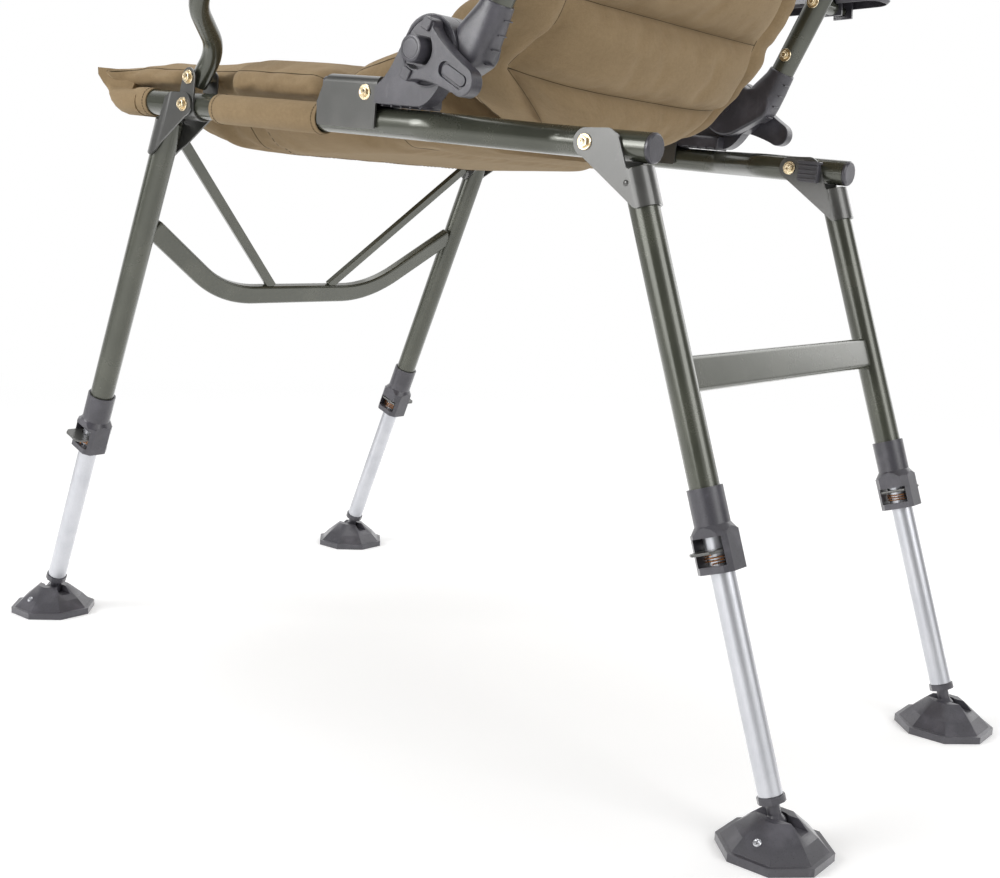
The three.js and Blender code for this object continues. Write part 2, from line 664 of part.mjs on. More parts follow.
// Clamping knob on its stud: hub, crescent wing and thumb lobe, turned to its rest angle.
function reclineKnob() {
  const wing = new THREE.Shape();
  const tip = KNOB_WING_TIP_RADIUS;
  wing.absarc(0, KNOB_WING_SPAN, tip, 0, Math.PI, false);
  wing.lineTo(-tip, -KNOB_WING_SPAN);
  wing.absarc(0, -KNOB_WING_SPAN, tip, Math.PI, 2 * Math.PI, false);
  wing.quadraticCurveTo(KNOB_RECESS_RADIUS + tip, -KNOB_LOBE_RADIUS, KNOB_LOBE_REACH, -KNOB_LOBE_RADIUS);
  wing.absarc(KNOB_LOBE_REACH, 0, KNOB_LOBE_RADIUS, -Math.PI / 2, Math.PI / 2, false);
  wing.quadraticCurveTo(KNOB_RECESS_RADIUS + tip, KNOB_LOBE_RADIUS, tip, KNOB_WING_SPAN);
  const top = KNOB_BASE + KNOB_WING_THICKNESS;
  const body = extrudeX(wing, KNOB_BASE, top, KNOB_BEVEL);
  const recess = rodX(KNOB_RECESS_RADIUS, top - KNOB_RECESS_DEPTH, top + CUT_OVERRUN, 0, 0);
  const hub = rodX(KNOB_HUB_RADIUS, KNOB_BASE, KNOB_BASE + KNOB_HUB_REACH, 0, 0);
  const stud = rodX(STUD_RADIUS, -SOCKET_HALF_WIDTH, KNOB_BASE + KNOB_BEVEL, 0, 0, BORE_SIDES);
  const knob = join(cut(body, recess), hub, stud).rotateX(KNOB_REST_ANGLE);
  return moved(knob, FRONT_HALF_WIDTH, 0, 0);
}

function backrestTube() {
  const corner = (x, z) => new THREE.Vector3(x, BACK_OFFSET, z);
  const hoop = bentBar(ringSection(tube.outer, tube.inner), [
    corner(FRONT_HALF_WIDTH, BACK_TUBE_START), corner(FRONT_HALF_WIDTH, BACK_TUBE_TOP),
    corner(-FRONT_HALF_WIDTH, BACK_TUBE_TOP), corner(-FRONT_HALF_WIDTH, BACK_TUBE_START),
  ], BACK_CORNER_RADIUS, new THREE.Vector3(0, 1, 0));
  const wall = FRONT_HALF_WIDTH + tube.inner;
  const rib = FRONT_HALF_WIDTH + UPRIGHT_OUTSET - RIB_INNER - RIB_THICKNESS;
  const tip = FRONT_HALF_WIDTH + UPRIGHT_OUTSET + RIB_INNER + RIB_THICKNESS;
  const studs = [1, -1].flatMap((side) => [
    [ARM_PIN_RADIUS, wall, tip + RUNNING_GAP + PLATE],
    [SPACER_RADIUS, wall, rib - RUNNING_GAP],
    [SPACER_RADIUS, tip + RUNNING_GAP, tip + RUNNING_GAP + PLATE],
  ].map(([radius, x0, x1]) => rodX(radius, side > 0 ? x0 : -x1, side > 0 ? x1 : -x0,
    BACK_OFFSET, ARM_PIVOT_UP_BACK, BORE_SIDES)));
  return join(hoop, ...studs);
}

const RIB_INNER = UPRIGHT_RADIUS + 5 * RUNNING_GAP;

// Cranked upright in the plane of X and its own length, along +Z, with its upper cross pin.
function armrestUpright(length) {
  const at = (x, z) => new THREE.Vector3(x, 0, z);
  const inner = UPRIGHT_RADIUS - UPRIGHT_WALL;
  const bar = bentBar(ringSection(UPRIGHT_RADIUS, inner, BORE_SIDES, OCTAGON_SIDES), [
    at(0, -UPRIGHT_HEEL), at(0, UPRIGHT_STRAIGHT),
    at(UPRIGHT_OUTSET, UPRIGHT_STRAIGHT + UPRIGHT_CRANK), at(UPRIGHT_OUTSET, length + UPRIGHT_TIP),
  ], UPRIGHT_BEND_RADIUS, new THREE.Vector3(0, 1, 0));
  const half = RIB_INNER + RIB_THICKNESS;
  const pin = rodX(ARM_PIN_RADIUS, UPRIGHT_OUTSET - half, UPRIGHT_OUTSET + half, 0, length, BORE_SIDES);
  return cut(join(bar, pin), boltHole(-UPRIGHT_RADIUS, UPRIGHT_RADIUS, 0, 0));
}

function roundedPlan(half, front, rear, corner) {
  const plan = new THREE.Shape();
  plan.absarc(half - corner, rear - corner, corner, 0, Math.PI / 2, false);
  plan.absarc(corner - half, rear - corner, corner, Math.PI / 2, Math.PI, false);
  plan.absarc(corner - half, front + corner, corner, Math.PI, 1.5 * Math.PI, false);
  plan.absarc(half - corner, front + corner, corner, 1.5 * Math.PI, 2 * Math.PI, false);
  return plan;
}

// Moulded armrest, hollow underneath, with lugs over its two pivots: the front one at the
// origin and the rear one at +Y. Its inner rim is notched for the back's pin.
function armrest(spacing) {
  const half = ARMREST_WIDTH / 2;
  const front = -ARMREST_FRONT_OVERHANG;
  const rear = spacing + ARMREST_REAR_OVERHANG;
  const wall = ARMREST_WALL;
  const shell = extrudeZ(roundedPlan(half, front, rear, ARMREST_CORNER),
    ARMREST_RIM_RISE, ARMREST_TOP_RISE, ARMREST_BEVEL);
  const roof = ARMREST_TOP_RISE - ARMREST_ROOF;
  const hollow = extrudeZ(roundedPlan(half - wall, front + wall, rear - wall, ARMREST_CORNER - wall),
    ARMREST_RIM_RISE - CUT_OVERRUN, roof);
  const notch = SPACER_RADIUS + RUNNING_GAP;
  const gate = block(-half - CUT_OVERRUN, spacing - notch, ARMREST_RIM_RISE - CUT_OVERRUN,
    wall - half + CUT_OVERRUN, spacing + notch, notch);
  const lugs = [0, spacing].flatMap((y) => [RIB_INNER, -RIB_INNER - RIB_THICKNESS].map((x) => block(
    x, y - RIB_END, -RIB_BELOW_PIVOT, x + RIB_THICKNESS, y + RIB_END, roof + CUT_OVERRUN)));
  const reach = RIB_INNER + RIB_THICKNESS + CUT_OVERRUN;
  const radius = boreRadius(ARM_PIN_RADIUS + RUNNING_GAP, BORE_SIDES);
  const bores = [0, spacing].map((y) => rodX(radius, -reach, reach, y, 0, BORE_SIDES));
  return cut(join(cut(shell, hollow, gate), ...lugs), ...bores);
}

// Outer leg tube, from under the rail to its stop in the clamp.
function legTube(top, clampStart) {
  const section = ringSection(tube.outer, tube.inner);
  return moved(extrudeZ(section, -clampStart - CLAMP_SLEEVE + CLAMP_STOP, -top), 0, LEG_OFFSET, 0);
}

function innerLegTube(clampStart, end) {
  const section = ringSection(INNER_LEG_RADIUS, INNER_LEG_RADIUS - INNER_LEG_WALL);
  const top = clampStart + CLAMP_LENGTH - TELESCOPE_OVERLAP;
  return moved(extrudeZ(section, -end, -top), 0, LEG_OFFSET, 0);
}

const CLAMP_LENGTH = CLAMP_SLEEVE + CLAMP_SHOULDER + CLAMP_BOX;
const CHAMBER_TOP = CLAMP_SLEEVE + CLAMP_SHOULDER + CHAMBER_LID;
const CHAMBER_BOTTOM = CLAMP_LENGTH - CHAMBER_FLOOR;
const LOCK_PLATE_TOP = CHAMBER_BOTTOM - SLOT_HEIGHT;

// Moulded clamp at the end of the leg tube: sleeve, shoulder and box with its lock chamber,
// open at +X for the plate's tab and by a low slot at -X. Origin at the sleeve's top, -Z down.
function legClamp() {
  const radius = tube.outer + CLAMP_WALL;
  const boxTop = CLAMP_SLEEVE + CLAMP_SHOULDER;
  const rectangle = (half, other, chamfer) => [
    [half, other - chamfer], [half - chamfer, other], [chamfer - half, other], [-half, other - chamfer],
    [-half, chamfer - other], [chamfer - half, -other], [half - chamfer, -other], [half, chamfer - other],
  ];
  const plan = rectangle(CLAMP_HALF_X, CLAMP_HALF_Y, CLAMP_CHAMFER);
  const body = extrudeZ(polygonShape(plan), -CLAMP_LENGTH, -boxTop);
  const shoulder = new THREE.CylinderGeometry(radius, Math.hypot(CLAMP_HALF_X, CLAMP_HALF_Y) - CLAMP_WALL,
    CLAMP_SHOULDER + CLAMP_WALL, ROUND_SIDES);
  shoulder.rotateX(Math.PI / 2);
  moved(shoulder, 0, 0, -CLAMP_SLEEVE - (CLAMP_SHOULDER + CLAMP_WALL) / 2);
  const full = extrudeZ(polygonShape(plan), -CLAMP_LENGTH, -CLAMP_SLEEVE + CUT_OVERRUN);
  const sleeve = rodZ(radius, -CLAMP_SLEEVE - CLAMP_WALL, 0, 0, 0);
  const outside = join(body, common(shoulder, full), sleeve);
  const tubeBore = rodZ(boreRadius(tube.outer + RUNNING_GAP),
    -CLAMP_SLEEVE + CLAMP_STOP - RUNNING_GAP, CUT_OVERRUN, 0, 0);
  const legRadius = boreRadius(INNER_LEG_RADIUS + RUNNING_GAP);
  const legBore = rodZ(legRadius, -CLAMP_LENGTH - CUT_OVERRUN, CUT_OVERRUN, 0, 0);
  const window = block(-CHAMBER_HALF, -CHAMBER_HALF, -CHAMBER_BOTTOM,
    CLAMP_HALF_X + CUT_OVERRUN, CHAMBER_HALF, -CHAMBER_TOP);
  const slot = block(-CLAMP_HALF_X - CUT_OVERRUN, -CHAMBER_HALF, -CHAMBER_BOTTOM,
    0, CHAMBER_HALF, -LOCK_PLATE_TOP + LOCK_PLATE);
  return cut(outside, tubeBore, legBore, window, slot);
}

// Lock plate round the inner leg, its tab out of the clamp at +X. Origin as the clamp's.
function lockPlate() {
  const half = CHAMBER_HALF - 2 * RUNNING_GAP;
  const tab = CLAMP_HALF_X + LOCK_TAB;
  const edge = -CLAMP_HALF_X + PLATE;
  const plate = polygonShape([
    [edge, -half], [tab - LOCK_TAB_CORNER, -half], [tab, -half + LOCK_TAB_CORNER],
    [tab, half - LOCK_TAB_CORNER], [tab - LOCK_TAB_CORNER, half], [edge, half],
  ]);
  const hole = circlePoints(boreRadius(INNER_LEG_RADIUS + LOCK_HOLE_GAP), ROUND_SIDES);
  plate.holes.push(new THREE.Path(hole.reverse()));
  return extrudeZ(plate, -LOCK_PLATE_TOP - LOCK_PLATE, -LOCK_PLATE_TOP);
}

// Coil path: a short straight run square to the floor, the curls, and the same at the plate.
class CoilRun extends THREE.Curve {
  constructor(bottom, top) {
    super();
    const lead = 2 * SPRING_WIRE_RADIUS;
    const low = bottom + lead;
    const high = top - lead;
    const count = SPRING_CURLS * SPRING_STEPS;
    const point = (turn, z) => new THREE.Vector3(
      SPRING_RADIUS * Math.cos(turn), SPRING_RADIUS * Math.sin(turn), z);
    this.stations = [point(0, bottom)];
    for (let i = 0; i <= count; i += 1) {
      this.stations.push(point((i / SPRING_STEPS) * 2 * Math.PI, low + ((high - low) * i) / count));
    }
    this.stations.push(point(SPRING_CURLS * 2 * Math.PI, top));
  }

  getSpacedPoints() {
    return this.stations;
  }

  computeFrenetFrames() {
    const last = this.stations.length - 1;
    const tangents = this.stations.map((point, i) => this.stations[Math.min(i + 1, last)].clone()
      .sub(this.stations[Math.max(i - 1, 0)]).normalize());
    const normals = this.stations.map((point, i) => {
      const outward = new THREE.Vector3(point.x, point.y, 0).normalize();
      return outward.addScaledVector(tangents[i], -outward.dot(tangents[i])).normalize();
    });
    return { tangents, normals, binormals: tangents.map((t, i) => t.clone().cross(normals[i])) };
  }
}

const SPRING_RUN = new CoilRun(-CHAMBER_BOTTOM + RUNNING_GAP, -LOCK_PLATE_TOP - LOCK_PLATE - RUNNING_GAP);

function clampSpring() {
  return new THREE.ExtrudeGeometry(new THREE.Shape(circlePoints(SPRING_WIRE_RADIUS, SPRING_SIDES)), {
    steps: SPRING_RUN.stations.length - 1,
    extrudePath: SPRING_RUN,
    bevelEnabled: false,
  });
}

// Least distance between stations that are at least half a curl apart along the coil.
function leastTurnGap(stations) {
  let least = Infinity;
  stations.forEach((a, i) => stations.slice(i + SPRING_STEPS / 2).forEach((b) => {
    least = Math.min(least, a.distanceTo(b));
  }));
  return least;
}

const springGap = leastTurnGap(SPRING_RUN.stations) - 2 * SPRING_WIRE_RADIUS;
console.log('least gap between spring curls, mm:', springGap.toFixed(2));

function frontBrace() {
  const at = (x, depth) => new THREE.Vector3(x, LEG_OFFSET, -depth);
  const end = FRONT_HALF_WIDTH - tube.outer - RUNNING_GAP;
  const slope = (BRACE_LOW_DEPTH - BRACE_END_DEPTH) / (end - BRACE_CORNER_OUT);
  const past = tube.outer;
  const bar = bentBar(boxSection(BRACE_THICKNESS, BRACE_HEIGHT, BAR_CORNER, BAR_WALL), [
    at(end + past, BRACE_END_DEPTH - past * slope), at(BRACE_CORNER_OUT, BRACE_LOW_DEPTH),
    at(-BRACE_CORNER_OUT, BRACE_LOW_DEPTH), at(-end - past, BRACE_END_DEPTH - past * slope),
  ], BRACE_BEND_RADIUS, new THREE.Vector3(0, 1, 0));
  const depth = BRACE_LOW_DEPTH + BRACE_HEIGHT;
  const between = block(-end, 0, -depth, end, 2 * LEG_OFFSET, 0);
  const strutEnd = FRONT_HALF_WIDTH - SADDLE_OUTER - RUNNING_GAP;
  const low = BRACE_LOW_DEPTH - BRACE_HEIGHT / 2 + BAR_WALL / 2;
  const rise = low - STRUT_TOP_DEPTH;
  const run = strutEnd - STRUT_FOOT_OUT;
  const lean = Math.atan2(run, rise);
  const struts = [1, -1].map((side) => {
    const length = Math.hypot(rise, run) + 2 * STRUT_WIDTH;
    const strut = new THREE.BoxGeometry(STRUT_WIDTH, STRUT_THICKNESS, length);
    strut.rotateY(side * lean);
    return moved(strut, side * (STRUT_FOOT_OUT + run / 2), LEG_OFFSET, -(low + STRUT_TOP_DEPTH) / 2);
  });
  const window = block(-strutEnd, 0, -low, strutEnd, 2 * LEG_OFFSET, 0);
  return join(common(bar, between), ...struts.map((strut) => common(strut, window)));
}

function rearCrossbar() {
  const end = REAR_HALF_WIDTH - tube.outer - RUNNING_GAP;
  const bar = extrudeZ(boxSection(CROSSBAR_HEIGHT, CROSSBAR_THICKNESS, BAR_CORNER, BAR_WALL), -end, end);
  return moved(bar.rotateY(Math.PI / 2), 0, LEG_OFFSET, -CROSSBAR_DEPTH);
}

// Plug, collar, neck and ball at the end of the inner leg. Origin at the tube's end, -Z down.
function ankle() {
  const plug = (INNER_LEG_RADIUS - INNER_LEG_WALL) * Math.cos(Math.PI / BORE_SIDES) - RUNNING_GAP;
  const rings = [[0, ANKLE_PLUG], [plug, ANKLE_PLUG], [plug, -RUNNING_GAP]];
  rings.push([ANKLE_COLLAR_RADIUS, -RUNNING_GAP], [ANKLE_COLLAR_RADIUS, -ANKLE_COLLAR]);
  rings.push([ANKLE_NECK_RADIUS, -ANKLE_COLLAR]);
  const neckAngle = Math.asin(ANKLE_NECK_RADIUS / BALL_RADIUS);
  const steps = ROUND_SIDES / 4;
  for (let i = 0; i <= steps; i += 1) {
    const angle = neckAngle + ((Math.PI - neckAngle) * i) / steps;
    rings.push([BALL_RADIUS * Math.sin(angle), -BALL_DROP + BALL_RADIUS * Math.cos(angle)]);
  }
  const profile = rings.map(([r, z]) => new THREE.Vector2(Math.max(r, 0), z)).reverse();
  profile[0].x = 0;
  const turned = new THREE.LatheGeometry(profile, BORE_SIDES).rotateX(Math.PI / 2);
  const pinHole = rodX(boreRadius(FOOT_PIN_RADIUS + RUNNING_GAP, BORE_SIDES), -BALL_RADIUS - CUT_OVERRUN,
    BALL_RADIUS + CUT_OVERRUN, 0, -BALL_DROP, BORE_SIDES);
  return cut(turned, pinHole);
}

// Octagonal foot with a hollow crown, a slot for the neck and a pin through the ball. Origin
// at the ball's centre, lowest face a ball's height below.
function swivelFoot() {
  const start = Math.PI / OCTAGON_SIDES;
  const octagon = (radius, z) => circlePoints(radius, OCTAGON_SIDES, start).map((p) => [p.x, p.y, z]);
  const ground = -BALL_HEIGHT;
  const crown = FOOT_CROWN_RISE;
  const plan = new THREE.Shape(circlePoints(FOOT_RADIUS, OCTAGON_SIDES, start));
  const rim = extrudeZ(plan, ground, ground + FOOT_RIM);
  const dome = stacked([
    octagon(FOOT_RADIUS - FOOT_RIM_STEP, ground + FOOT_RIM - CUT_OVERRUN),
    octagon(FOOT_DOME_RADIUS, ground + FOOT_DOME_HEIGHT),
    octagon(FOOT_CROWN_RADIUS, crown),
  ]);
  const seat = BALL_RADIUS + RUNNING_GAP;
  const pocket = rodZ(boreRadius(seat), -seat, crown + CUT_OVERRUN, 0, 0);
  const neck = ANKLE_NECK_RADIUS + 2 * RUNNING_GAP;
  const slot = block(-neck, -FOOT_SLOT_REACH, crown - FOOT_SLOT_DEPTH,
    neck, FOOT_SLOT_REACH, crown + CUT_OVERRUN);
  const pin = rodX(FOOT_PIN_RADIUS, -FOOT_CROWN_RADIUS, FOOT_CROWN_RADIUS, 0, 0, BORE_SIDES);
  return join(cut(join(rim, dome), pocket, slot), pin);
}

// Solid through a stack of rings that all have the same number of points.
function stacked(rings) {
  const positions = rings.flat(2);
  const count = rings[0].length;
  const index = [];
  for (let level = 0; level < rings.length - 1; level += 1) {
    for (let i = 0; i < count; i += 1) {
      const a = level * count + i;
      const b = level * count + ((i + 1) % count);
      index.push(a, b, b + count, a, b + count, a + count);
    }
  }
  const first = rings[0];
  const last = rings.at(-1);
  const middle = (ring) => [0, 1, 2].map((k) => ring.reduce((sum, p) => sum + p[k], 0) / count);
  positions.push(...middle(first), ...middle(last));
  const low = rings.length * count;
  for (let i = 0; i < count; i += 1) {
    const next = (i + 1) % count;
    index.push(low, next, i);
    index.push(low + 1, low - count + i, low - count + next);
  }
  const geometry = new THREE.BufferGeometry();
  geometry.setAttribute('position', new THREE.BufferAttribute(new Float32Array(positions), 3));
  geometry.setIndex(index);
  return geometry;
}

// Smooth step from 0 to 1 as value goes from start to end.
function ease(value, start, end) {
  return THREE.MathUtils.smoothstep(value, Math.min(start, end), Math.max(start, end));
}

const SEAT_HALF_WIDTH = FRONT_HALF_WIDTH - SEAT_SIDE_INSET;
const SEAT_WAIST = FRONT_HALF_WIDTH - SADDLE_OUTER - RUNNING_GAP - HEAD_HEIGHT - SEAT_BOLT_GAP;
const SEAT_TONGUE_HALF = REAR_HALF_WIDTH - tube.outer - SEAT_TONGUE_GAP;
const BACK_HALF_WIDTH = FRONT_HALF_WIDTH - BACK_SIDE_INSET;
const BACK_TOP_HALF_WIDTH = FRONT_HALF_WIDTH - tube.outer - 2 * RUNNING_GAP;

// Seat cushion in the rail frame: rings across the chair, from the nose to the tongue under
// the back cushion's roll. It rests on the rails and sags between them.
function seatCushion() {
  const rings = Array.from({ length: SEAT_STATIONS + 1 }, (_, i) => seatSection(
    -SEAT_FRONT + ((SEAT_FRONT - SEAT_REAR) * i) / SEAT_STATIONS));
  const roll = rodX(boreRadius(ROLL_RADIUS + ROLL_GAP, 2 * ROUND_SIDES), -FRONT_HALF_WIDTH, FRONT_HALF_WIDTH,
    -HINGE_AHEAD, HINGE_RISE, 2 * ROUND_SIDES);
  return cut(stacked(rings), roll);
}

function seatSection(y) {
  const { lerp } = THREE.MathUtils;
  const bracket = 1 - ease(Math.abs(y - ARM_PIVOT_Y), ARM_SADDLE_HALF + ARM_EAR_RADIUS, 4 * ARM_SADDLE_HALF);
  const hinge = ease(y, -CLIP_FRONT - 2 * PLUG_DEPTH, -CLIP_FRONT);
  const tail = ease(y, -HINGE_AHEAD - ROLL_RADIUS - SEAT_NOSE, -SEAT_REAR);
  const bolster = SEAT_BOLSTER_RISE * ease(y, -SEAT_SEAM, -SEAT_SEAM + SEAT_BOLSTER_RUN);
  const nose = 1 - ease(y, -SEAT_FRONT, -SEAT_FRONT + 3 * SEAT_NOSE);
  const seam = 1 - ease(Math.abs(y + SEAT_SEAM), 0, SEAT_NOSE);
  const sides = lerp(SEAT_HALF_WIDTH, SEAT_WAIST, Math.max(bracket, hinge));
  const half = lerp(sides, SEAT_TONGUE_HALF, tail);
  const padTop = SEAT_TOP + bolster - nose * SEAT_NOSE / 2 - seam * SEAT_SEAM_DEPTH;
  const top = lerp(padTop, SEAT_TONGUE_TOP, tail);
  const crown = SEAT_CROWN * (1 - nose) * (1 - tail);
  const foot = SEAT_SHOULDER * (1 - tail);
  const edge = Math.min(half, FRONT_HALF_WIDTH - tube.outer) - PLUG_BEVEL;
  const lip = ease(-y, -FRONT_BAR_Y - 4 * SEAT_NOSE, -FRONT_BAR_Y - tube.outer - PLUG_BEVEL);
  const sag = lerp(-SEAT_SAG, foot, lip);
  const round = (top - foot) / 4;
  const right = [
    [0, sag], [(edge - SEAT_SLOPE) / 2, sag + crown / 4], [edge - SEAT_SLOPE, sag + (foot - sag) / 4],
    [edge - SEAT_INSET, foot], [edge, foot], [half, foot + round], [half + round / 4, top - 1.5 * round],
    [half - round, top], [half / 2, top + crown * CROWN_SHARE], [0, top + crown],
  ];
  const left = right.slice(1, -1).reverse().map(([x, z]) => [-x, z]);
  return [...right, ...left].map(([x, z]) => [x, y, z]).reverse();
}

// Back cushion in the back frame: rings up the back, a roll at the foot round the recline
// axis, sewn channels across both faces, and top corners that follow the hoop.
function backCushion() {
  const top = BACK_TUBE_TOP - tube.outer - RUNNING_GAP;
  const rings = BACK_ROLL_ANGLES.map((angle) => backSection(ROLL_RADIUS * Math.sin(angle), 0));
  const step = BACK_CHANNEL_PITCH / BACK_RINGS_PER_CHANNEL;
  for (let i = 0; i <= BACK_CHANNELS * BACK_RINGS_PER_CHANNEL; i += 1) {
    const swell = Math.sqrt(Math.abs(Math.sin((Math.PI * i) / BACK_RINGS_PER_CHANNEL)));
    rings.push(backSection(i * step, 1 - swell));
  }
  return stacked([...rings, backSection(top, 0)]);
}

function backSection(z, seam) {
  const { lerp } = THREE.MathUtils;
  const rollReach = Math.sqrt(Math.max(ROLL_RADIUS ** 2 - z ** 2, 0));
  const aboveCorner = z - (BACK_TUBE_TOP - BACK_CORNER_RADIUS);
  const inside = BACK_CORNER_RADIUS - tube.outer - RUNNING_GAP;
  const aboveReach = Math.sqrt(Math.max(inside ** 2 - aboveCorner ** 2, 0));
  const cornerCut = aboveCorner > 0 ? inside - aboveReach : 0;
  const flare = ease(z, BACK_CHANNEL_PITCH, 3 * BACK_CHANNEL_PITCH);
  const wide = lerp(BACK_HALF_WIDTH, BACK_TOP_HALF_WIDTH, flare);
  const taper = wide * ROLL_TAPER_SHARE * (Math.max(-z, 0) / ROLL_RADIUS) ** ROLL_TAPER_POWER;
  const half = wide - taper - cornerCut;
  const pinch = seam * BACK_CHANNEL_DEPTH / 2;
  const front = pinch - (z < 0 ? rollReach : Math.max(rollReach, BACK_FRONT_FACE));
  const aboveRoll = lerp(ROLL_RADIUS, BACK_REAR_FACE, ease(z, 0, BACK_CHANNEL_PITCH / 2));
  const rear = (z < 0 ? rollReach : aboveRoll) - 2 * pinch;
  const side = Math.min(BACK_SIDE_DEPTH, (rear - front) / 4);
  const centre = (front + rear) / 2;
  const right = [
    [0, front], [half * FACE_FLAT_SHARE, front + BACK_FACE_CROWN],
    [half - side, (front + centre - side) / 2],
    [half, centre - side / 2], [half, centre + side / 2], [half - side, (rear + centre + side) / 2],
    [half * FACE_FLAT_SHARE, rear - BACK_FACE_CROWN], [0, rear],
  ];
  const left = right.slice(1, -1).reverse().map(([x, y]) => [-x, y]);
  return [...right, ...left].map(([x, y]) => [x, y, z]);
}

function addSeat(seat) {
  piece(seat, 'seat_frame_tube', seatFrameTube(), 'olive');
  piece(seat, 'seat_cushion', seatCushion(), 'cloth');
  pair(seat, 'rail_end_plug', railEndPlug, 'plastic');
  pair(seat, 'armrest_bracket', armrestBracket, 'olive');
  pair(seat, 'hinge_clip', hingeClip, 'plate');
  pair(seat, 'hinge_foot', hingeFoot, 'plastic');
  pair(seat, 'front_pivot_bolt', () => hexBolt(FRONT_HALF_WIDTH - FRONT_BOLT_GRIP,
    FRONT_HALF_WIDTH + FRONT_BOLT_GRIP, -PIVOT_SPACING, 0), 'brass');
  pair(seat, 'rear_pivot_bolt', () => hexBolt(REAR_HALF_WIDTH - REAR_BOLT_GRIP,
    REAR_HALF_WIDTH + REAR_BOLT_GRIP, 0, 0), 'brass');
  const grip = SADDLE_OUTER + RUNNING_GAP;
  pair(seat, 'armrest_pivot_bolt', () => hexBolt(FRONT_HALF_WIDTH - grip, FRONT_HALF_WIDTH + grip,
    ARM_PIVOT_Y, ARM_PIVOT_RISE), 'brass');
}

function legTop(railAngle) {
  return (LEG_OFFSET + tube.outer) * Math.tan(railAngle) + TUBE_RADIUS / Math.cos(railAngle) + LEG_STOP_GAP;
}

// Distance down the leg at which the inner tube ends, so that the foot stands on the ground.
function innerLegEnd(pivotHeight, lean) {
  return (pivotHeight + LEG_OFFSET * Math.sin(lean) - BALL_HEIGHT) / Math.cos(lean) - BALL_DROP;
}

// One leg frame in its own frame: origin between the pivots, legs at +Y, feet towards -Z.
function addLegFrame(frame, label, size) {
  const { halfWidth, clampStart, railAngle, lean, end, earInner } = size;
  const atLeg = (geometry) => moved(geometry, halfWidth, 0, 0);
  const atClamp = (geometry) => moved(geometry, halfWidth, LEG_OFFSET, -clampStart);
  pair(frame, `${label}_leg_tube`, () => atLeg(legTube(legTop(railAngle), clampStart)), 'olive');
  pair(frame, `${label}_leg_bracket`, () => atLeg(legBracket(earInner, railAngle)), 'plate');
  pair(frame, `${label}_clamp`, () => atClamp(legClamp()), 'plastic');
  pair(frame, `${label}_lock_plate`, () => atClamp(lockPlate()), 'plate');
  pair(frame, `${label}_clamp_spring`, () => atClamp(clampSpring()), 'spring');
  pair(frame, `${label}_inner_leg`, () => atLeg(innerLegTube(clampStart, end)), 'aluminium');
  pair(frame, `${label}_ankle`, () => moved(ankle(), halfWidth, LEG_OFFSET, -end), 'plastic');
  const foot = () => moved(swivelFoot().rotateX(-lean), halfWidth, LEG_OFFSET, -end - BALL_DROP);
  pair(frame, `${label}_foot`, foot, 'plastic');
}

// Point of the rail frame in the chair's frame.
function railPoint(y, z) {
  return new THREE.Vector3(0, y, z).applyAxisAngle(new THREE.Vector3(1, 0, 0), -RAIL_PITCH)
    .add(new THREE.Vector3(0, 0, REAR_PIVOT_HEIGHT));
}

function placed(parent, position, turn, mirror = 1) {
  const group = new THREE.Group();
  group.position.copy(position);
  group.rotation.x = turn;
  group.scale.y = mirror;
  parent.add(group);
  return group;
}

const chair = new THREE.Group();
addSeat(placed(chair, railPoint(0, 0), -RAIL_PITCH));

const frontPivot = railPoint(-PIVOT_SPACING, 0);
const frontLegs = placed(chair, frontPivot, -FRONT_LEG_LEAN, -1);
addLegFrame(frontLegs, 'front', {
  halfWidth: FRONT_HALF_WIDTH,
  clampStart: FRONT_CLAMP_START,
  railAngle: FRONT_LEG_LEAN - RAIL_PITCH,
  lean: FRONT_LEG_LEAN,
  end: innerLegEnd(frontPivot.z, FRONT_LEG_LEAN),
  earInner: FRONT_EAR_INNER,
});
piece(frontLegs, 'front_brace', frontBrace(), 'olive');

const rearLegs = placed(chair, railPoint(0, 0), REAR_LEG_LEAN);
addLegFrame(rearLegs, 'rear', {
  halfWidth: REAR_HALF_WIDTH,
  clampStart: REAR_CLAMP_START,
  railAngle: REAR_LEG_LEAN + RAIL_PITCH,
  lean: REAR_LEG_LEAN,
  end: innerLegEnd(REAR_PIVOT_HEIGHT, REAR_LEG_LEAN),
  earInner: REAR_EAR_INNER,
});
piece(rearLegs, 'rear_crossbar', rearCrossbar(), 'olive');

const hingeAxis = railPoint(-HINGE_AHEAD, HINGE_RISE);
const back = placed(chair, hingeAxis, -BACK_RECLINE);
piece(back, 'backrest_tube', backrestTube(), 'olive');
piece(back, 'backrest_cushion', backCushion(), 'cloth');
pair(back, 'hinge_arm', hingeArm, 'plastic');
pair(placed(chair, hingeAxis, 0), 'recline_knob', reclineKnob, 'plastic');

// Parallelogram of rail, upright, armrest and back: the upright copies the back's own crank.
const crank = new THREE.Vector3(0, BACK_OFFSET, ARM_PIVOT_UP_BACK)
  .applyAxisAngle(new THREE.Vector3(1, 0, 0), -BACK_RECLINE);
const armPivot = railPoint(ARM_PIVOT_Y, ARM_PIVOT_RISE);
const armSpan = hingeAxis.clone().sub(armPivot);
const uprights = placed(chair, armPivot, -Math.atan2(crank.y, crank.z));
const upright = () => moved(armrestUpright(crank.length()), FRONT_HALF_WIDTH, 0, 0);
pair(uprights, 'armrest_upright', upright, 'olive');
const armrests = placed(chair, armPivot.clone().add(crank), Math.atan2(armSpan.z, armSpan.y));
pair(armrests, 'armrest', () => moved(armrest(armSpan.length()), FRONT_HALF_WIDTH + UPRIGHT_OUTSET, 0, 0),
  'plastic');

// The chair stands on the ground plane, centred over it.
const extent = new THREE.Box3().setFromObject(chair, true);
chair.position.set(0, -(extent.min.y + extent.max.y) / 2, -extent.min.z);

export default chair;
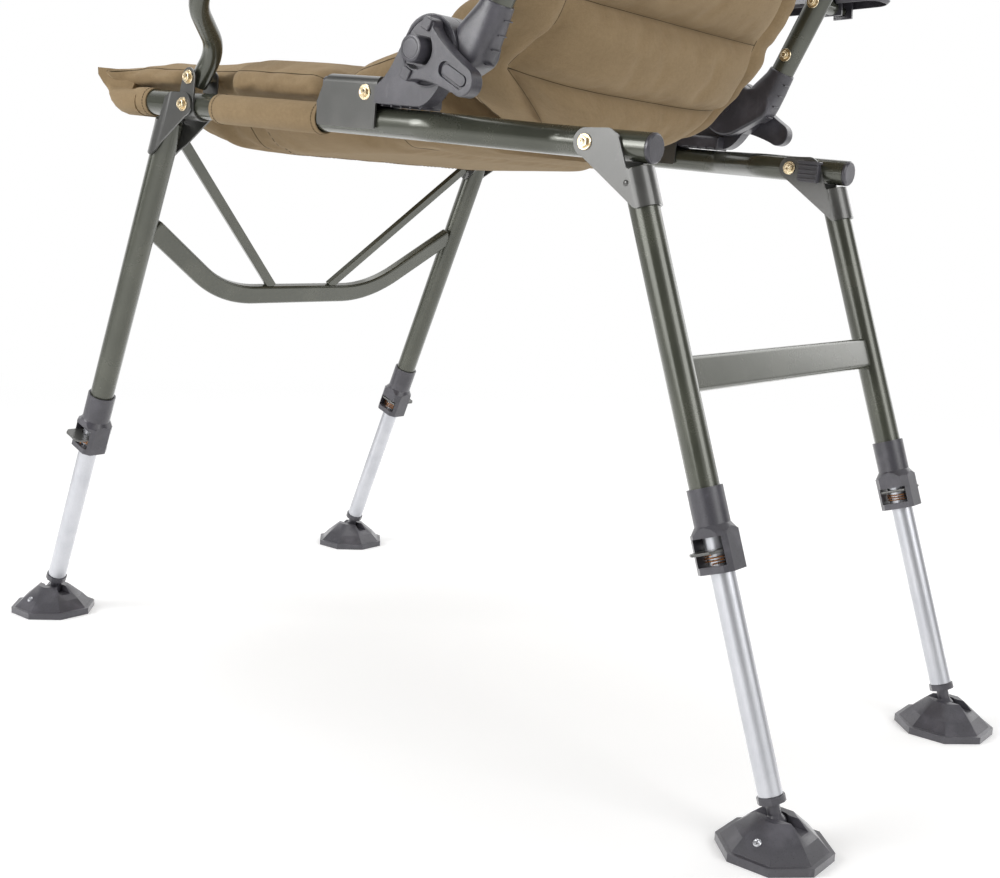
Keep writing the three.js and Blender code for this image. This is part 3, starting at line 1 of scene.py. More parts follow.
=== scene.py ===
"""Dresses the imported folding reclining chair: padded cloth, painted tubes and plates, moulded plastic.

Metres, +Z up, the sitter faces -Y and has +X on the left. Sizes that the frame holds are read from it.
"""
import json
import logging
import math
from dataclasses import dataclass, field
from enum import Enum
from typing import Sequence

import bmesh
import bpy
from mathutils import Matrix, Vector, noise

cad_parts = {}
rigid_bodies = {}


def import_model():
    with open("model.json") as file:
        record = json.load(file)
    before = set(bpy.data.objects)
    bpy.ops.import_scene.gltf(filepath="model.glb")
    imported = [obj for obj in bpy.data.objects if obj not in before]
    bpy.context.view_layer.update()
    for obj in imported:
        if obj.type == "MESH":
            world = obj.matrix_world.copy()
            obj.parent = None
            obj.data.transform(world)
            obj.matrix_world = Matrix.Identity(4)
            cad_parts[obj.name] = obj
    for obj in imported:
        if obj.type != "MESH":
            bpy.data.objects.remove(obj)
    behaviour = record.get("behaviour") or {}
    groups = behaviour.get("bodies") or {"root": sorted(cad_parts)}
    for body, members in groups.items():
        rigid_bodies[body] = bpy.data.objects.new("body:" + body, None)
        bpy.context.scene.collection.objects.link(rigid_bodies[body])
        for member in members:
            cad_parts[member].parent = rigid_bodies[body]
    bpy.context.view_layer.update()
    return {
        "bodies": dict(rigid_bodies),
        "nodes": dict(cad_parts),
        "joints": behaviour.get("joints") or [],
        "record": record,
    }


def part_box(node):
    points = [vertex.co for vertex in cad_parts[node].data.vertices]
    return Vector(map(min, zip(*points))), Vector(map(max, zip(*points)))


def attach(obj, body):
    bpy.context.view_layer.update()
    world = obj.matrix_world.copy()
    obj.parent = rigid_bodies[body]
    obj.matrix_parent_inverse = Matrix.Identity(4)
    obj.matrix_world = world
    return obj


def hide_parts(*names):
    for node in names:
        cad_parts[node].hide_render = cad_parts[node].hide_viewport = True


log = logging.getLogger("chair")

SIDES = {"left": 1, "right": -1}
Point = Sequence[float]


class Slot(Enum):
    """Material slots of the record."""

    TUBE = "olive_tube"
    PLATE = "olive_plate"
    ALUMINIUM = "aluminium"
    PLASTIC = "plastic"
    BRASS = "brass"
    SPRING = "spring"
    CLOTH = "cloth"


class Wire:
    """One socket of a material, with the arithmetic that shader maths needs.

    Args:
        board: The material that the socket belongs to.
        socket: An output socket, or a plain number.
    """

    def __init__(self, board: "Board", socket: bpy.types.NodeSocket | float) -> None:
        self.board = board
        self.socket = socket

    def _maths(self, operation: str, *values: "Wire | float", clamp: bool = False) -> "Wire":
        """Adds one Math node and returns its output."""
        return self.board.add("ShaderNodeMath", {"operation": operation, "use_clamp": clamp},
                              {i: value for i, value in enumerate(values)})

    def __add__(self, other: "Wire | float") -> "Wire":
        """Sum."""
        return self._maths("ADD", self, other)

    def __sub__(self, other: "Wire | float") -> "Wire":
        """Difference."""
        return self._maths("SUBTRACT", self, other)

    def __rsub__(self, other: "Wire | float") -> "Wire":
        """Difference from a number."""
        return self._maths("SUBTRACT", other, self)

    def __mul__(self, other: "Wire | float") -> "Wire":
        """Product."""
        return self._maths("MULTIPLY", self, other)

    __radd__ = __add__
    __rmul__ = __mul__

    def sine(self) -> "Wire":
        """Sine of an angle in radians."""
        return self._maths("SINE", self)

    def between(self, low: float, high: float) -> "Wire":
        """Smooth step from 0 at low to 1 at high."""
        return self.board.add("ShaderNodeMapRange", {"interpolation_type": "SMOOTHSTEP"},
                              {"Value": self, "From Min": low, "From Max": high})


class Board:
    """A node material being wired up.

    Args:
        name: Name of the material.
        block: A world to wire up, in place of a new material.
    """

    def __init__(self, name: str, block: bpy.types.World | None = None) -> None:
        self.material = block or bpy.data.materials.new(name)
        self.material.use_nodes = True
        self.tree = self.material.node_tree
        self.tree.nodes.clear()

    def add(self, kind: str, settings: dict, values: dict, output: int | str = 0) -> Wire:
        """Adds a node.

        Args:
            kind: Type of the node.
            settings: Its own settings, set before its sockets.
            values: Value or wire for each input, by name or number.
            output: Which output to return.

        Returns:
            The wire that leaves the node.
        """
        node = self.tree.nodes.new(kind)
        for key, value in settings.items():
            if key == "stops":
                self._set_stops(node.color_ramp, value)
            else:
                setattr(node, key, value)
        for key, value in values.items():
            if isinstance(value, Wire):
                self.tree.links.new(value.socket, node.inputs[key])
            else:
                node.inputs[key].default_value = value
        return Wire(self, node.outputs[output])

    @staticmethod
    def _set_stops(ramp: bpy.types.ColorRamp, stops: Sequence[tuple]) -> None:
        """Sets a ramp's stops, each a place and a colour."""
        while len(ramp.elements) < len(stops):
            ramp.elements.new(1)
        for element, (place, colour) in zip(ramp.elements, stops):
            element.position = place
            element.color = (*colour, 1)

    def place(self, stretch: Point = (1, 1, 1), source: str = "Object") -> Wire:
        """Object or UV coordinates, stretched along each axis."""
        coordinates = self.add("ShaderNodeTexCoord", {}, {}, source)
        return self.add("ShaderNodeMapping", {}, {"Vector": coordinates, "Scale": tuple(stretch)})

    def speckle(self, size: float, detail: float = 3, source: str = "Object",
                stretch: Point = (1, 1, 1)) -> Wire:
        """Noise whose blotches are about size metres across."""
        return self.add("ShaderNodeTexNoise", {}, {
            "Vector": self.place(stretch, source), "Scale": 1 / size, "Detail": detail})

    def split(self, vector: Wire, axis: str) -> Wire:
        """One component of a vector."""
        return self.add("ShaderNodeSeparateXYZ", {}, {0: vector}, axis)

    def mix(self, share: Wire, first: Point, second: Point) -> Wire:
        """Blends two colours."""
        pair = [value if isinstance(value, Wire) else (*value, 1) for value in (first, second)]
        return self.add("ShaderNodeMix", {"data_type": "RGBA"}, {0: share, 6: pair[0], 7: pair[1]}, 2)

    def bump(self, height: Wire, distance: float, strength: float = 1) -> Wire:
        """Normal of a relief that is distance metres deep."""
        return self.add("ShaderNodeBump", {}, {
            "Height": height, "Distance": distance, "Strength": strength})

    def finish(self, **sockets: Wire | float | tuple) -> bpy.types.Material:
        """Closes the material with a Principled shader.

        Args:
            sockets: Values and wires by socket name, with underscores for spaces.

        Returns:
            The finished material.
        """
        values = {key.replace("_", " "): value for key, value in sockets.items()}
        shader = self.add("ShaderNodeBsdfPrincipled", {}, values)
        self.add_output(shader)
        return self.material

    def add_output(self, shader: Wire, kind: str = "Material") -> None:
        """Connects the surface of a material or of the world."""
        output = self.tree.nodes.new(f"ShaderNodeOutput{kind}")
        self.tree.links.new(shader.socket, output.inputs["Surface"])


def linear(red: int, green: int, blue: int) -> tuple[float, float, float]:
    """Turns an 8-bit screen colour into the linear values that a shader takes."""
    return tuple(((c / 255 + 0.055) / 1.055) ** 2.4 if c > 10 else c / 3294.6 for c in (red, green, blue))


@dataclass(frozen=True)
class PaintFinish:
    """Satin powder coat on steel, with fine orange peel and paler rubbed patches."""

    name: str
    colour: tuple[float, float, float]
    rubbed: tuple[float, float, float]
    gloss: float = 0.34
    grain: float = 0.0011

    def build(self) -> bpy.types.Material:
        """Wires the finish up."""
        board = Board(self.name)
        cloud = board.speckle(0.05, 4).between(0.35, 0.75)
        flake = board.speckle(self.grain, 2)
        wear = board.speckle(0.012, 6).between(0.66, 0.8)
        tint = board.mix(cloud * 0.3 + flake * 0.1, self.colour, self.rubbed)
        return board.finish(
            Base_Color=board.mix(wear * 0.5, tint, self.rubbed),
            Metallic=0.3,
            Roughness=flake * 0.05 + cloud * 0.06 + wear * 0.08 + (self.gloss - 0.06),
            Normal=board.bump(flake, 0.00002),
            Coat_Weight=0.35, Coat_Roughness=0.12)


@dataclass(frozen=True)
class PlasticFinish:
    """Glass-filled nylon with a spark-eroded grain and scuffed high spots."""

    name: str = "moulded_plastic"
    colour: tuple[float, float, float] = linear(56, 55, 60)
    scuffed: tuple[float, float, float] = linear(114, 112, 120)
    gloss: float = 0.31

    def build(self) -> bpy.types.Material:
        """Wires the finish up."""
        board = Board(self.name)
        grain = board.speckle(0.0007, 2)
        cloud = board.speckle(0.02, 5).between(0.4, 0.8)
        scuff = board.speckle(0.006, 6, stretch=(1, 1, 0.4)).between(0.6, 0.8)
        tint = board.mix(cloud * 0.3 + grain * 0.2, self.colour, self.scuffed)
        return board.finish(
            Base_Color=board.mix(scuff * 0.25, tint, self.scuffed),
            Roughness=grain * 0.2 + scuff * 0.1 + (self.gloss - 0.1),
            Normal=board.bump(grain, 0.00012))


@dataclass(frozen=True)
class AluminiumFinish:
    """Drawn tube, anodised satin, with faint lines along its length."""

    name: str = "drawn_aluminium"
    colour: tuple[float, float, float] = linear(188, 189, 193)
    dulled: tuple[float, float, float] = linear(150, 152, 158)

    def build(self) -> bpy.types.Material:
        """Wires the finish up."""
        board = Board(self.name)
        lines = board.speckle(0.0006, 3, stretch=(1, 1, 0.012))
        cloud = board.speckle(0.03, 4).between(0.35, 0.8)
        return board.finish(
            Base_Color=board.mix(lines * 0.4 + cloud * 0.3, self.colour, self.dulled),
            Metallic=0.75,
            Roughness=lines * 0.16 + cloud * 0.06 + 0.24,
            Normal=board.bump(lines, 0.00004))


@dataclass(frozen=True)
class PlatedFinish:
    """Passivated or copper-washed steel, uneven in colour."""

    name: str
    colour: tuple[float, float, float]
    stained: tuple[float, float, float]

    def build(self) -> bpy.types.Material:
        """Wires the finish up."""
        board = Board(self.name)
        cloud = board.speckle(0.003, 4).between(0.3, 0.75)
        grain = board.speckle(0.0004, 2)
        return board.finish(
            Base_Color=board.mix(cloud, self.colour, self.stained),
            Metallic=0.95,
            Roughness=cloud * 0.1 + grain * 0.05 + 0.2,
            Normal=board.bump(grain, 0.00001))


@dataclass(frozen=True)
class ClothFinish:
    """Brushed polyester: a close plain weave under a soft nap that mottles the colour."""

    name: str
    colour: tuple[float, float, float] = linear(160, 138, 106)
    shaded: tuple[float, float, float] = linear(116, 97, 70)
    thread: float = 0.0009
    source: str = "UV"

    def build(self) -> bpy.types.Material:
        """Wires the finish up."""
        board = Board(self.name)
        turn = 2 * math.pi / self.thread
        place = board.place(source=self.source)
        warp = (board.split(place, "X") * turn).sine()
        weft = (board.split(place, "Y") * turn).sine()
        weave = (warp * weft * 0.5 + 0.5)
        nap = board.speckle(0.0011, 5, self.source)
        tuft = board.speckle(0.0045, 8, self.source)
        cloud = board.speckle(0.03, 4, self.source).between(0.3, 0.75)
        tint = board.mix(nap * 0.4 + tuft * 0.4 + weave * 0.12 + cloud * 0.15 - 0.1, self.colour, self.shaded)
        relief = weave * 0.4 + nap + tuft * 0.6
        return board.finish(
            Base_Color=tint, Roughness=nap * 0.1 + 0.82, Normal=board.bump(relief, 0.00024, 0.8),
            Specular_IOR_Level=0.2, Sheen_Weight=0.18, Sheen_Roughness=0.45,
            Sheen_Tint=(0.95, 0.84, 0.66, 1))


class Finishes:
    """Every material of the chair, built once, by slot and by name."""

    def __init__(self) -> None:
        self.by_slot = {
            Slot.TUBE: PaintFinish("tube_paint", linear(66, 68, 58), linear(96, 97, 86), 0.27).build(),
            # Plates: the same olive coat as the tubes, but painted paler and greyer here; that paler grey is
            # painted reflection of the bright studio on the flat plates.
            Slot.PLATE: PaintFinish("plate_paint_with_painted_reflection", linear(74, 74, 72), linear(112, 112, 108), 0.33).build(),
            Slot.ALUMINIUM: AluminiumFinish().build(),
            Slot.PLASTIC: PlasticFinish().build(),
            Slot.BRASS: PlatedFinish("yellow_plating", linear(226, 212, 184), linear(196, 176, 138)).build(),
            Slot.SPRING: PlatedFinish("copper_wash", linear(196, 140, 92), linear(140, 92, 58)).build(),
            Slot.CLOTH: ClothFinish("khaki_cloth").build(),
        }
        self.sleeve = ClothFinish("sleeve_cloth", source="Object").build()
        # Dark brown thread: in the pads' seam lines its dark colour is painted shade of the seam creases; the
        # sleeve hems and the stitch row under the seat use the same colour as plain thread.
        self.seam = ClothFinish("seam_thread", linear(70, 58, 42), linear(48, 40, 28), source="Object").build()

    def dress(self, piece: bpy.types.Object, slot: Slot) -> None:
        piece.data.materials.clear()
        piece.data.materials.append(self.by_slot[slot])


class Bench:
    """Hand tools that add and shape one mesh with Blender's own operators."""

    @staticmethod
    def clear() -> None:
        """Leaves edit mode and deselects everything."""
        if bpy.context.object and bpy.context.object.mode != "OBJECT":
            bpy.ops.object.mode_set(mode="OBJECT")
        bpy.ops.object.select_all(action="DESELECT")

    @staticmethod
    def grasp(piece: bpy.types.Object) -> bpy.types.Object:
        """Makes a piece the only selected and active object."""
        Bench.clear()
        piece.select_set(True)
        bpy.context.view_layer.objects.active = piece
        return piece

    @staticmethod
    def start(name: str, kind: str, **settings: object) -> bpy.types.Object:
        """Adds a primitive and opens it in edit mode.

        Args:
            name: Name of the new piece.
            kind: Primitive's name, such as cube or circle.
            settings: The primitive's own settings.

        Returns:
            The new object, in edit mode with all selected.
        """
        Bench.clear()
        getattr(bpy.ops.mesh, f"primitive_{kind}_add")(**settings)
        piece = bpy.context.object
        piece.name = piece.data.name = name
        bpy.ops.object.mode_set(mode="EDIT")
        bpy.ops.mesh.select_all(action="SELECT")
        return piece

    @staticmethod
    def ring(name: str, points: Sequence[Point], fill: str = "NGON") -> bpy.types.Object:
        """Adds a circle and moves its vertices to the points, one each.

        Args:
            name: Name of the new piece.
            points: The ring's points.
            fill: NGON for a face inside the ring, NOTHING for the line alone.

        Returns:
            The new object, in edit mode with all selected.
        """
        piece = Bench.start(name, "circle", vertices=len(points), radius=1, fill_type=fill)
        mesh = bmesh.from_edit_mesh(piece.data)
        for vertex, point in zip(mesh.verts, points):
            vertex.co = point
        bmesh.update_edit_mesh(piece.data)
        return piece

    @staticmethod
    def put(piece: bpy.types.Object, place: Matrix) -> bpy.types.Object:
        """Moves a mesh to its place, with its faces kept outward where the place mirrors it."""
        piece.data.transform(place)
        if place.determinant() < 0:
            piece.data.flip_normals()
        return piece

    @staticmethod
    def pull(step: Point) -> None:
        """Extrudes what is selected along a step."""
        bpy.ops.mesh.extrude_region_move(TRANSFORM_OT_translate={"value": tuple(step)})

    @staticmethod
    def turn(angle: float, centre: Point, axis: Point, steps: int) -> None:
        """Sweeps what is selected round an axis, right-handed."""
        bpy.ops.mesh.spin(steps=steps, angle=-angle, center=tuple(centre), axis=tuple(axis), dupli=False)

    @staticmethod
    def modify(piece: bpy.types.Object, kind: str, **settings: object) -> None:
        """Adds a modifier and applies it."""
        Bench.grasp(piece)
        modifier = piece.modifiers.new(kind.title(), kind)
        for key, value in settings.items():
            setattr(modifier, key, value)
        bpy.ops.object.modifier_apply(modifier=modifier.name)

    @staticmethod
    def close(piece: bpy.types.Object, smooth: float = 35, outward: bool = True) -> bpy.types.Object:
        """Ends the work on a piece: merged, facing out, smooth and with its place in its mesh.

        Args:
            piece: The piece, in either mode.
            smooth: Angle in degrees under which edges are shaded smooth.
            outward: Whether to make the normals point out.

        Returns:
            The same piece.
        """
        Bench.grasp(piece)
        bpy.ops.object.transform_apply(location=True, rotation=True, scale=True)
        bpy.ops.object.mode_set(mode="EDIT")
        bpy.ops.mesh.select_all(action="SELECT")
        bpy.ops.mesh.remove_doubles(threshold=0.00001)
        if outward:
            bpy.ops.mesh.normals_make_consistent(inside=False)
        bpy.ops.object.mode_set(mode="OBJECT")
        bpy.ops.object.shade_smooth_by_angle(angle=math.radians(smooth))
        return piece

    @staticmethod
    def joined(name: str, pieces: Sequence[bpy.types.Object]) -> bpy.types.Object:
        """Joins meshes into one piece under a name."""
        Bench.clear()
        for piece in pieces:
            piece.select_set(True)
        bpy.context.view_layer.objects.active = pieces[0]
        bpy.ops.object.join()
        pieces[0].name = pieces[0].data.name = name
        return pieces[0]

    @staticmethod
    def mirror(piece: bpy.types.Object, name: str) -> bpy.types.Object:
        """Copies a piece to the other side of the chair, with its own mesh."""
        twin = piece.copy()
        twin.data = piece.data.copy()
        twin.name = twin.data.name = name
        bpy.context.scene.collection.objects.link(twin)
        return Bench.put(twin, Matrix.Diagonal((-1, 1, 1, 1)))

    @staticmethod
    def combine(piece: bpy.types.Object, tool: bpy.types.Object, operation: str) -> bpy.types.Object:
        """Cuts, joins or trims a piece with a tool, which is used up."""
        Bench.modify(piece, "BOOLEAN", operation=operation, object=tool, solver="EXACT")
        bpy.data.objects.remove(tool)
        return piece

    @staticmethod
    def round_edges(piece: bpy.types.Object, width: float, segments: int = 3, angle: float = 35,
                    smooth: float = 35) -> bpy.types.Object:
        """Rounds the sharp edges of a piece and shades it smooth."""
        Bench.modify(piece, "BEVEL", width=width, segments=segments, limit_method="ANGLE",
                     angle_limit=math.radians(angle), miter_outer="MITER_ARC", use_clamp_overlap=True)
        bpy.ops.object.shade_smooth_by_angle(angle=math.radians(smooth))
        return piece


class Outline:
    """Flat outline drawn with straight runs, arcs and curves."""

    def __init__(self) -> None:
        self.points: list[tuple[float, float]] = []

    def to(self, *points: tuple[float, float]) -> "Outline":
        """Runs straight to each point in turn."""
        self.points.extend(points)
        return self

    def arc(self, middle: tuple[float, float], radius: float, start: float, end: float,
            steps: int = 16) -> "Outline":
        """Runs round an arc, its angles in degrees."""
        for i in range(steps + 1):
            angle = math.radians(start + (end - start) * i / steps)
            self.points.append((middle[0] + radius * math.cos(angle), middle[1] + radius * math.sin(angle)))
        return self

    def curve(self, control: tuple[float, float], end: tuple[float, float], steps: int = 14) -> "Outline":
        """Bends from the last point to an end, drawn towards a control point."""
        start = self.points[-1]
        for i in range(1, steps + 1):
            t = i / steps
            self.points.append(tuple((1 - t) ** 2 * a + 2 * t * (1 - t) * b + t * t * c
                                     for a, b, c in zip(start, control, end)))
        return self

    @staticmethod
    def ring(radius: float, sides: int = 48, middle: tuple[float, float] = (0, 0)) -> "Outline":
        """A whole circle."""
        return Outline().arc(middle, radius, 0, 360 * (1 - 1 / sides), sides - 1)

    @staticmethod
    def slot(radius: float, first: tuple[float, float], second: tuple[float, float]) -> "Outline":
        """A long hole with round ends about two points."""
        heading = math.degrees(math.atan2(second[1] - first[1], second[0] - first[0]))
        return Outline().arc(second, radius, heading - 90, heading + 90).arc(
            first, radius, heading + 90, heading + 270)

    @staticmethod
    def box(low: tuple[float, float], high: tuple[float, float], corner: float = 0.0) -> "Outline":
        """A rectangle with rounded corners."""
        if not corner:
            return Outline().to(low, (high[0], low[1]), high, (low[0], high[1]))
        inner = [(high[0] - corner, high[1] - corner), (low[0] + corner, high[1] - corner),
                 (low[0] + corner, low[1] + corner), (high[0] - corner, low[1] + corner)]
        plan = Outline()
        for i, middle in enumerate(inner):
            plan.arc(middle, corner, 90 * i, 90 * i + 90, 8)
        return plan


ACROSS = Matrix(((0, 0, 1, 0), (1, 0, 0, 0), (0, 1, 0, 0), (0, 0, 0, 1)))
"""Takes an outline drawn in Y and Z, with its thickness along X."""

ALONG = Matrix(((1, 0, 0, 0), (0, 0, -1, 0), (0, 1, 0, 0), (0, 0, 0, 1)))
"""Takes an outline drawn in X and Z, with its thickness along -Y."""

FLAT = Matrix.Identity(4)
"""Takes an outline drawn in X and Y, with its thickness along Z."""


def slab(name: str, outline: Outline, low: float, high: float, place: Matrix,
         bevel: float = 0.0, segments: int = 3) -> bpy.types.Object:
    """Saws a flat outline out of stock and rounds its edges.

    Args:
        name: Name of the piece.
        outline: Its outline.
        low: Where its thickness starts.
        high: Where its thickness ends.
        place: Turns and moves the outline's plane to its place.
        bevel: Width of the rounding of its edges.
        segments: Steps of that rounding.

    Returns:
        The closed piece.
    """
    piece = Bench.ring(name, [(across, up, low) for across, up in outline.points])
    Bench.pull((0, 0, high - low))
    Bench.put(Bench.close(piece), place)
    if bevel:
        Bench.round_edges(piece, bevel, segments)
    return piece


def turned(name: str, profile: Sequence[tuple[float, float]], place: Matrix, sides: int = 48,
           smooth: float = 35) -> bpy.types.Object:
    """Turns a piece on a lathe round its own Z axis.

    Args:
        name: Name of the piece.
        profile: Points of radius and height, from the axis to the axis or round a closed ring.
        place: Where the piece goes.
        sides: Steps round the axis.
        smooth: Edges blunter than this, in degrees, are shaded smooth.

    Returns:
        The closed piece.
    """
    piece = Bench.ring(name, [(radius, 0, height) for radius, height in profile], "NOTHING")
    Bench.turn(2 * math.pi, (0, 0, 0), (0, 0, 1), sides)
    Bench.close(piece, smooth)
    bpy.ops.object.mode_set(mode="EDIT")
    bpy.ops.mesh.select_all(action="SELECT")
    bpy.ops.mesh.delete_loose(use_verts=True, use_edges=True)
    bpy.ops.object.mode_set(mode="OBJECT")
    return Bench.put(piece, place)


def drawn(name: str, sections: Sequence[Sequence[Point]], place: Matrix,
          smooth: float = 35) -> bpy.types.Object:
    """Draws a piece through rings of points, all of one count, and closes both ends.

    Args:
        name: Name of the piece.
        sections: Its rings of points, from one end to the other.
        place: Where the piece goes.
        smooth: Edges blunter than this, in degrees, are shaded smooth.

    Returns:
        The closed piece.
    """
    step = Vector((0, 0, 1))
    piece = Bench.ring(name, sections[0])
    for last, ring in zip(sections, sections[1:]):
        Bench.pull(step)
        mesh = bmesh.from_edit_mesh(piece.data)
        for vertex in [vertex for vertex in mesh.verts if vertex.select]:
            origin = vertex.co - step
            nearest = min(range(len(last)), key=lambda i: (Vector(last[i]) - origin).length)
            vertex.co = ring[nearest]
        bmesh.update_edit_mesh(piece.data)
    return Bench.put(Bench.close(piece, smooth), place)


def oval(low: tuple[float, float], high: tuple[float, float], height: float, power: float,
         sides: int = 48) -> list[Vector]:
    """Ring in a level plane that runs from an ellipse, at power 2, to a rounded box at higher powers."""
    ring = []
    for i in range(sides):
        angle = 2 * math.pi * i / sides
        share = [0.5 + math.copysign(abs(value) ** (2 / power), value) / 2
                 for value in (math.cos(angle), math.sin(angle))]
        ring.append(Vector((mixed(low[0], high[0], share[0]), mixed(low[1], high[1], share[1]), height)))
    return ring


def thread(name: str, runs: Sequence[Sequence[Point]], radius: float, sides: int = 3) -> bpy.types.Object:
    """Lays thin lines of thread along runs of points and makes them one mesh."""
    curve = bpy.data.curves.new(name, "CURVE")
    curve.dimensions = "3D"
    curve.bevel_depth = radius
    curve.bevel_resolution = sides
    curve.use_fill_caps = True
    for run in runs:
        spline = curve.splines.new("POLY")
        spline.points.add(len(run) - 1)
        for point, place in zip(spline.points, run):
            point.co = (*place, 1)
    line = bpy.data.objects.new(name, curve)
    bpy.context.scene.collection.objects.link(line)
    Bench.grasp(line)
    bpy.ops.object.convert(target="MESH")
    line = bpy.context.object
    line.name = line.data.name = name
    bpy.ops.object.shade_smooth()
    return line


def facing(place: Point, side: int = 1) -> Matrix:
    """Frame at a place whose Z axis points along X, to the left at side 1."""
    return Matrix.Translation(place) @ Matrix.Rotation(side * math.pi / 2, 4, "Y")


def ease(value: float, low: float, high: float) -> float:
    """Smooth step from 0 at low to 1 at high."""
    t = min(max((value - low) / (high - low), 0), 1)
    return t * t * (3 - 2 * t)


def mixed(first: float, second: float, share: float) -> float:
    """Value between two others."""
    return first + (second - first) * share


def bent_tube(name: str, corners: Sequence[Point], radius: float, bend: float, wall: float = 0.0015,
              sides: int = 32, step: float = math.radians(6)) -> bpy.types.Object:
    """Bends a round tube along a line of corners, as a bending machine does.

    Args:
        name: Name of the piece.
        corners: The line's corners, ends included.
        radius: Outer radius.
        bend: Radius of each bend at the tube's middle.
        wall: Wall thickness.
        sides: Sides of the round section.
        step: Angle of each step of a bend.

    Returns:
        The open tube.
    """
    points = [Vector(corner) for corner in corners]
    first = (points[1] - points[0]).normalized()
    euler = first.to_track_quat("Z", "Y").to_euler()
    tube = Bench.start(name, "circle", vertices=sides, radius=radius, location=points[0], rotation=euler)
    here = points[0]
    for i in range(1, len(points) - 1):
        back = (points[i - 1] - points[i]).normalized()
        ahead = (points[i + 1] - points[i]).normalized()
        angle = math.pi - back.angle(ahead)
        start = points[i] + back * bend * math.tan(angle / 2)
        end = points[i] + ahead * bend * math.tan(angle / 2)
        centre = points[i] + (back + ahead).normalized() * bend / math.cos(angle / 2)
        Bench.pull(start - here)
        Bench.turn(angle, centre, ahead.cross(back).normalized(), max(2, round(angle / step)))
        here = end
    Bench.pull(points[-1] - here)
    Bench.close(tube, 60)
    Bench.modify(tube, "SOLIDIFY", thickness=wall, offset=-1, use_even_offset=True)
    return tube


@dataclass
class Stance:
    """Places and directions that the other classes share, read from the frame's joints."""

    frame: dict
    rail_pitch: float = math.radians(3.8)
    back_recline: float = math.radians(26.7)
    front_lean: float = math.radians(22)
    rear_lean: float = math.radians(18.9)

    def __post_init__(self) -> None:
        """Reads the pivots."""
        self.joints = {joint["name"]: joint for joint in self.frame["joints"]}
        self.rail = self.local("rear_legs_fold", -self.rail_pitch)
        self.back = self.local("recline", -self.back_recline)
        self.front_leg = self.local("front_legs_fold", -self.front_lean) @ Matrix.Diagonal((1, -1, 1, 1))
        self.rear_leg = self.local("rear_legs_fold", self.rear_lean)

    def pivot(self, joint: str) -> Vector:
        """Place of a joint at rest."""
        return Vector(self.joints[joint]["pos_m"])

    def local(self, joint: str, turn: float) -> Matrix:
        """Frame at a joint on the chair's middle plane, turned about X."""
        pivot = self.pivot(joint)
        return Matrix.Translation((0, pivot.y, pivot.z)) @ Matrix.Rotation(turn, 4, "X")


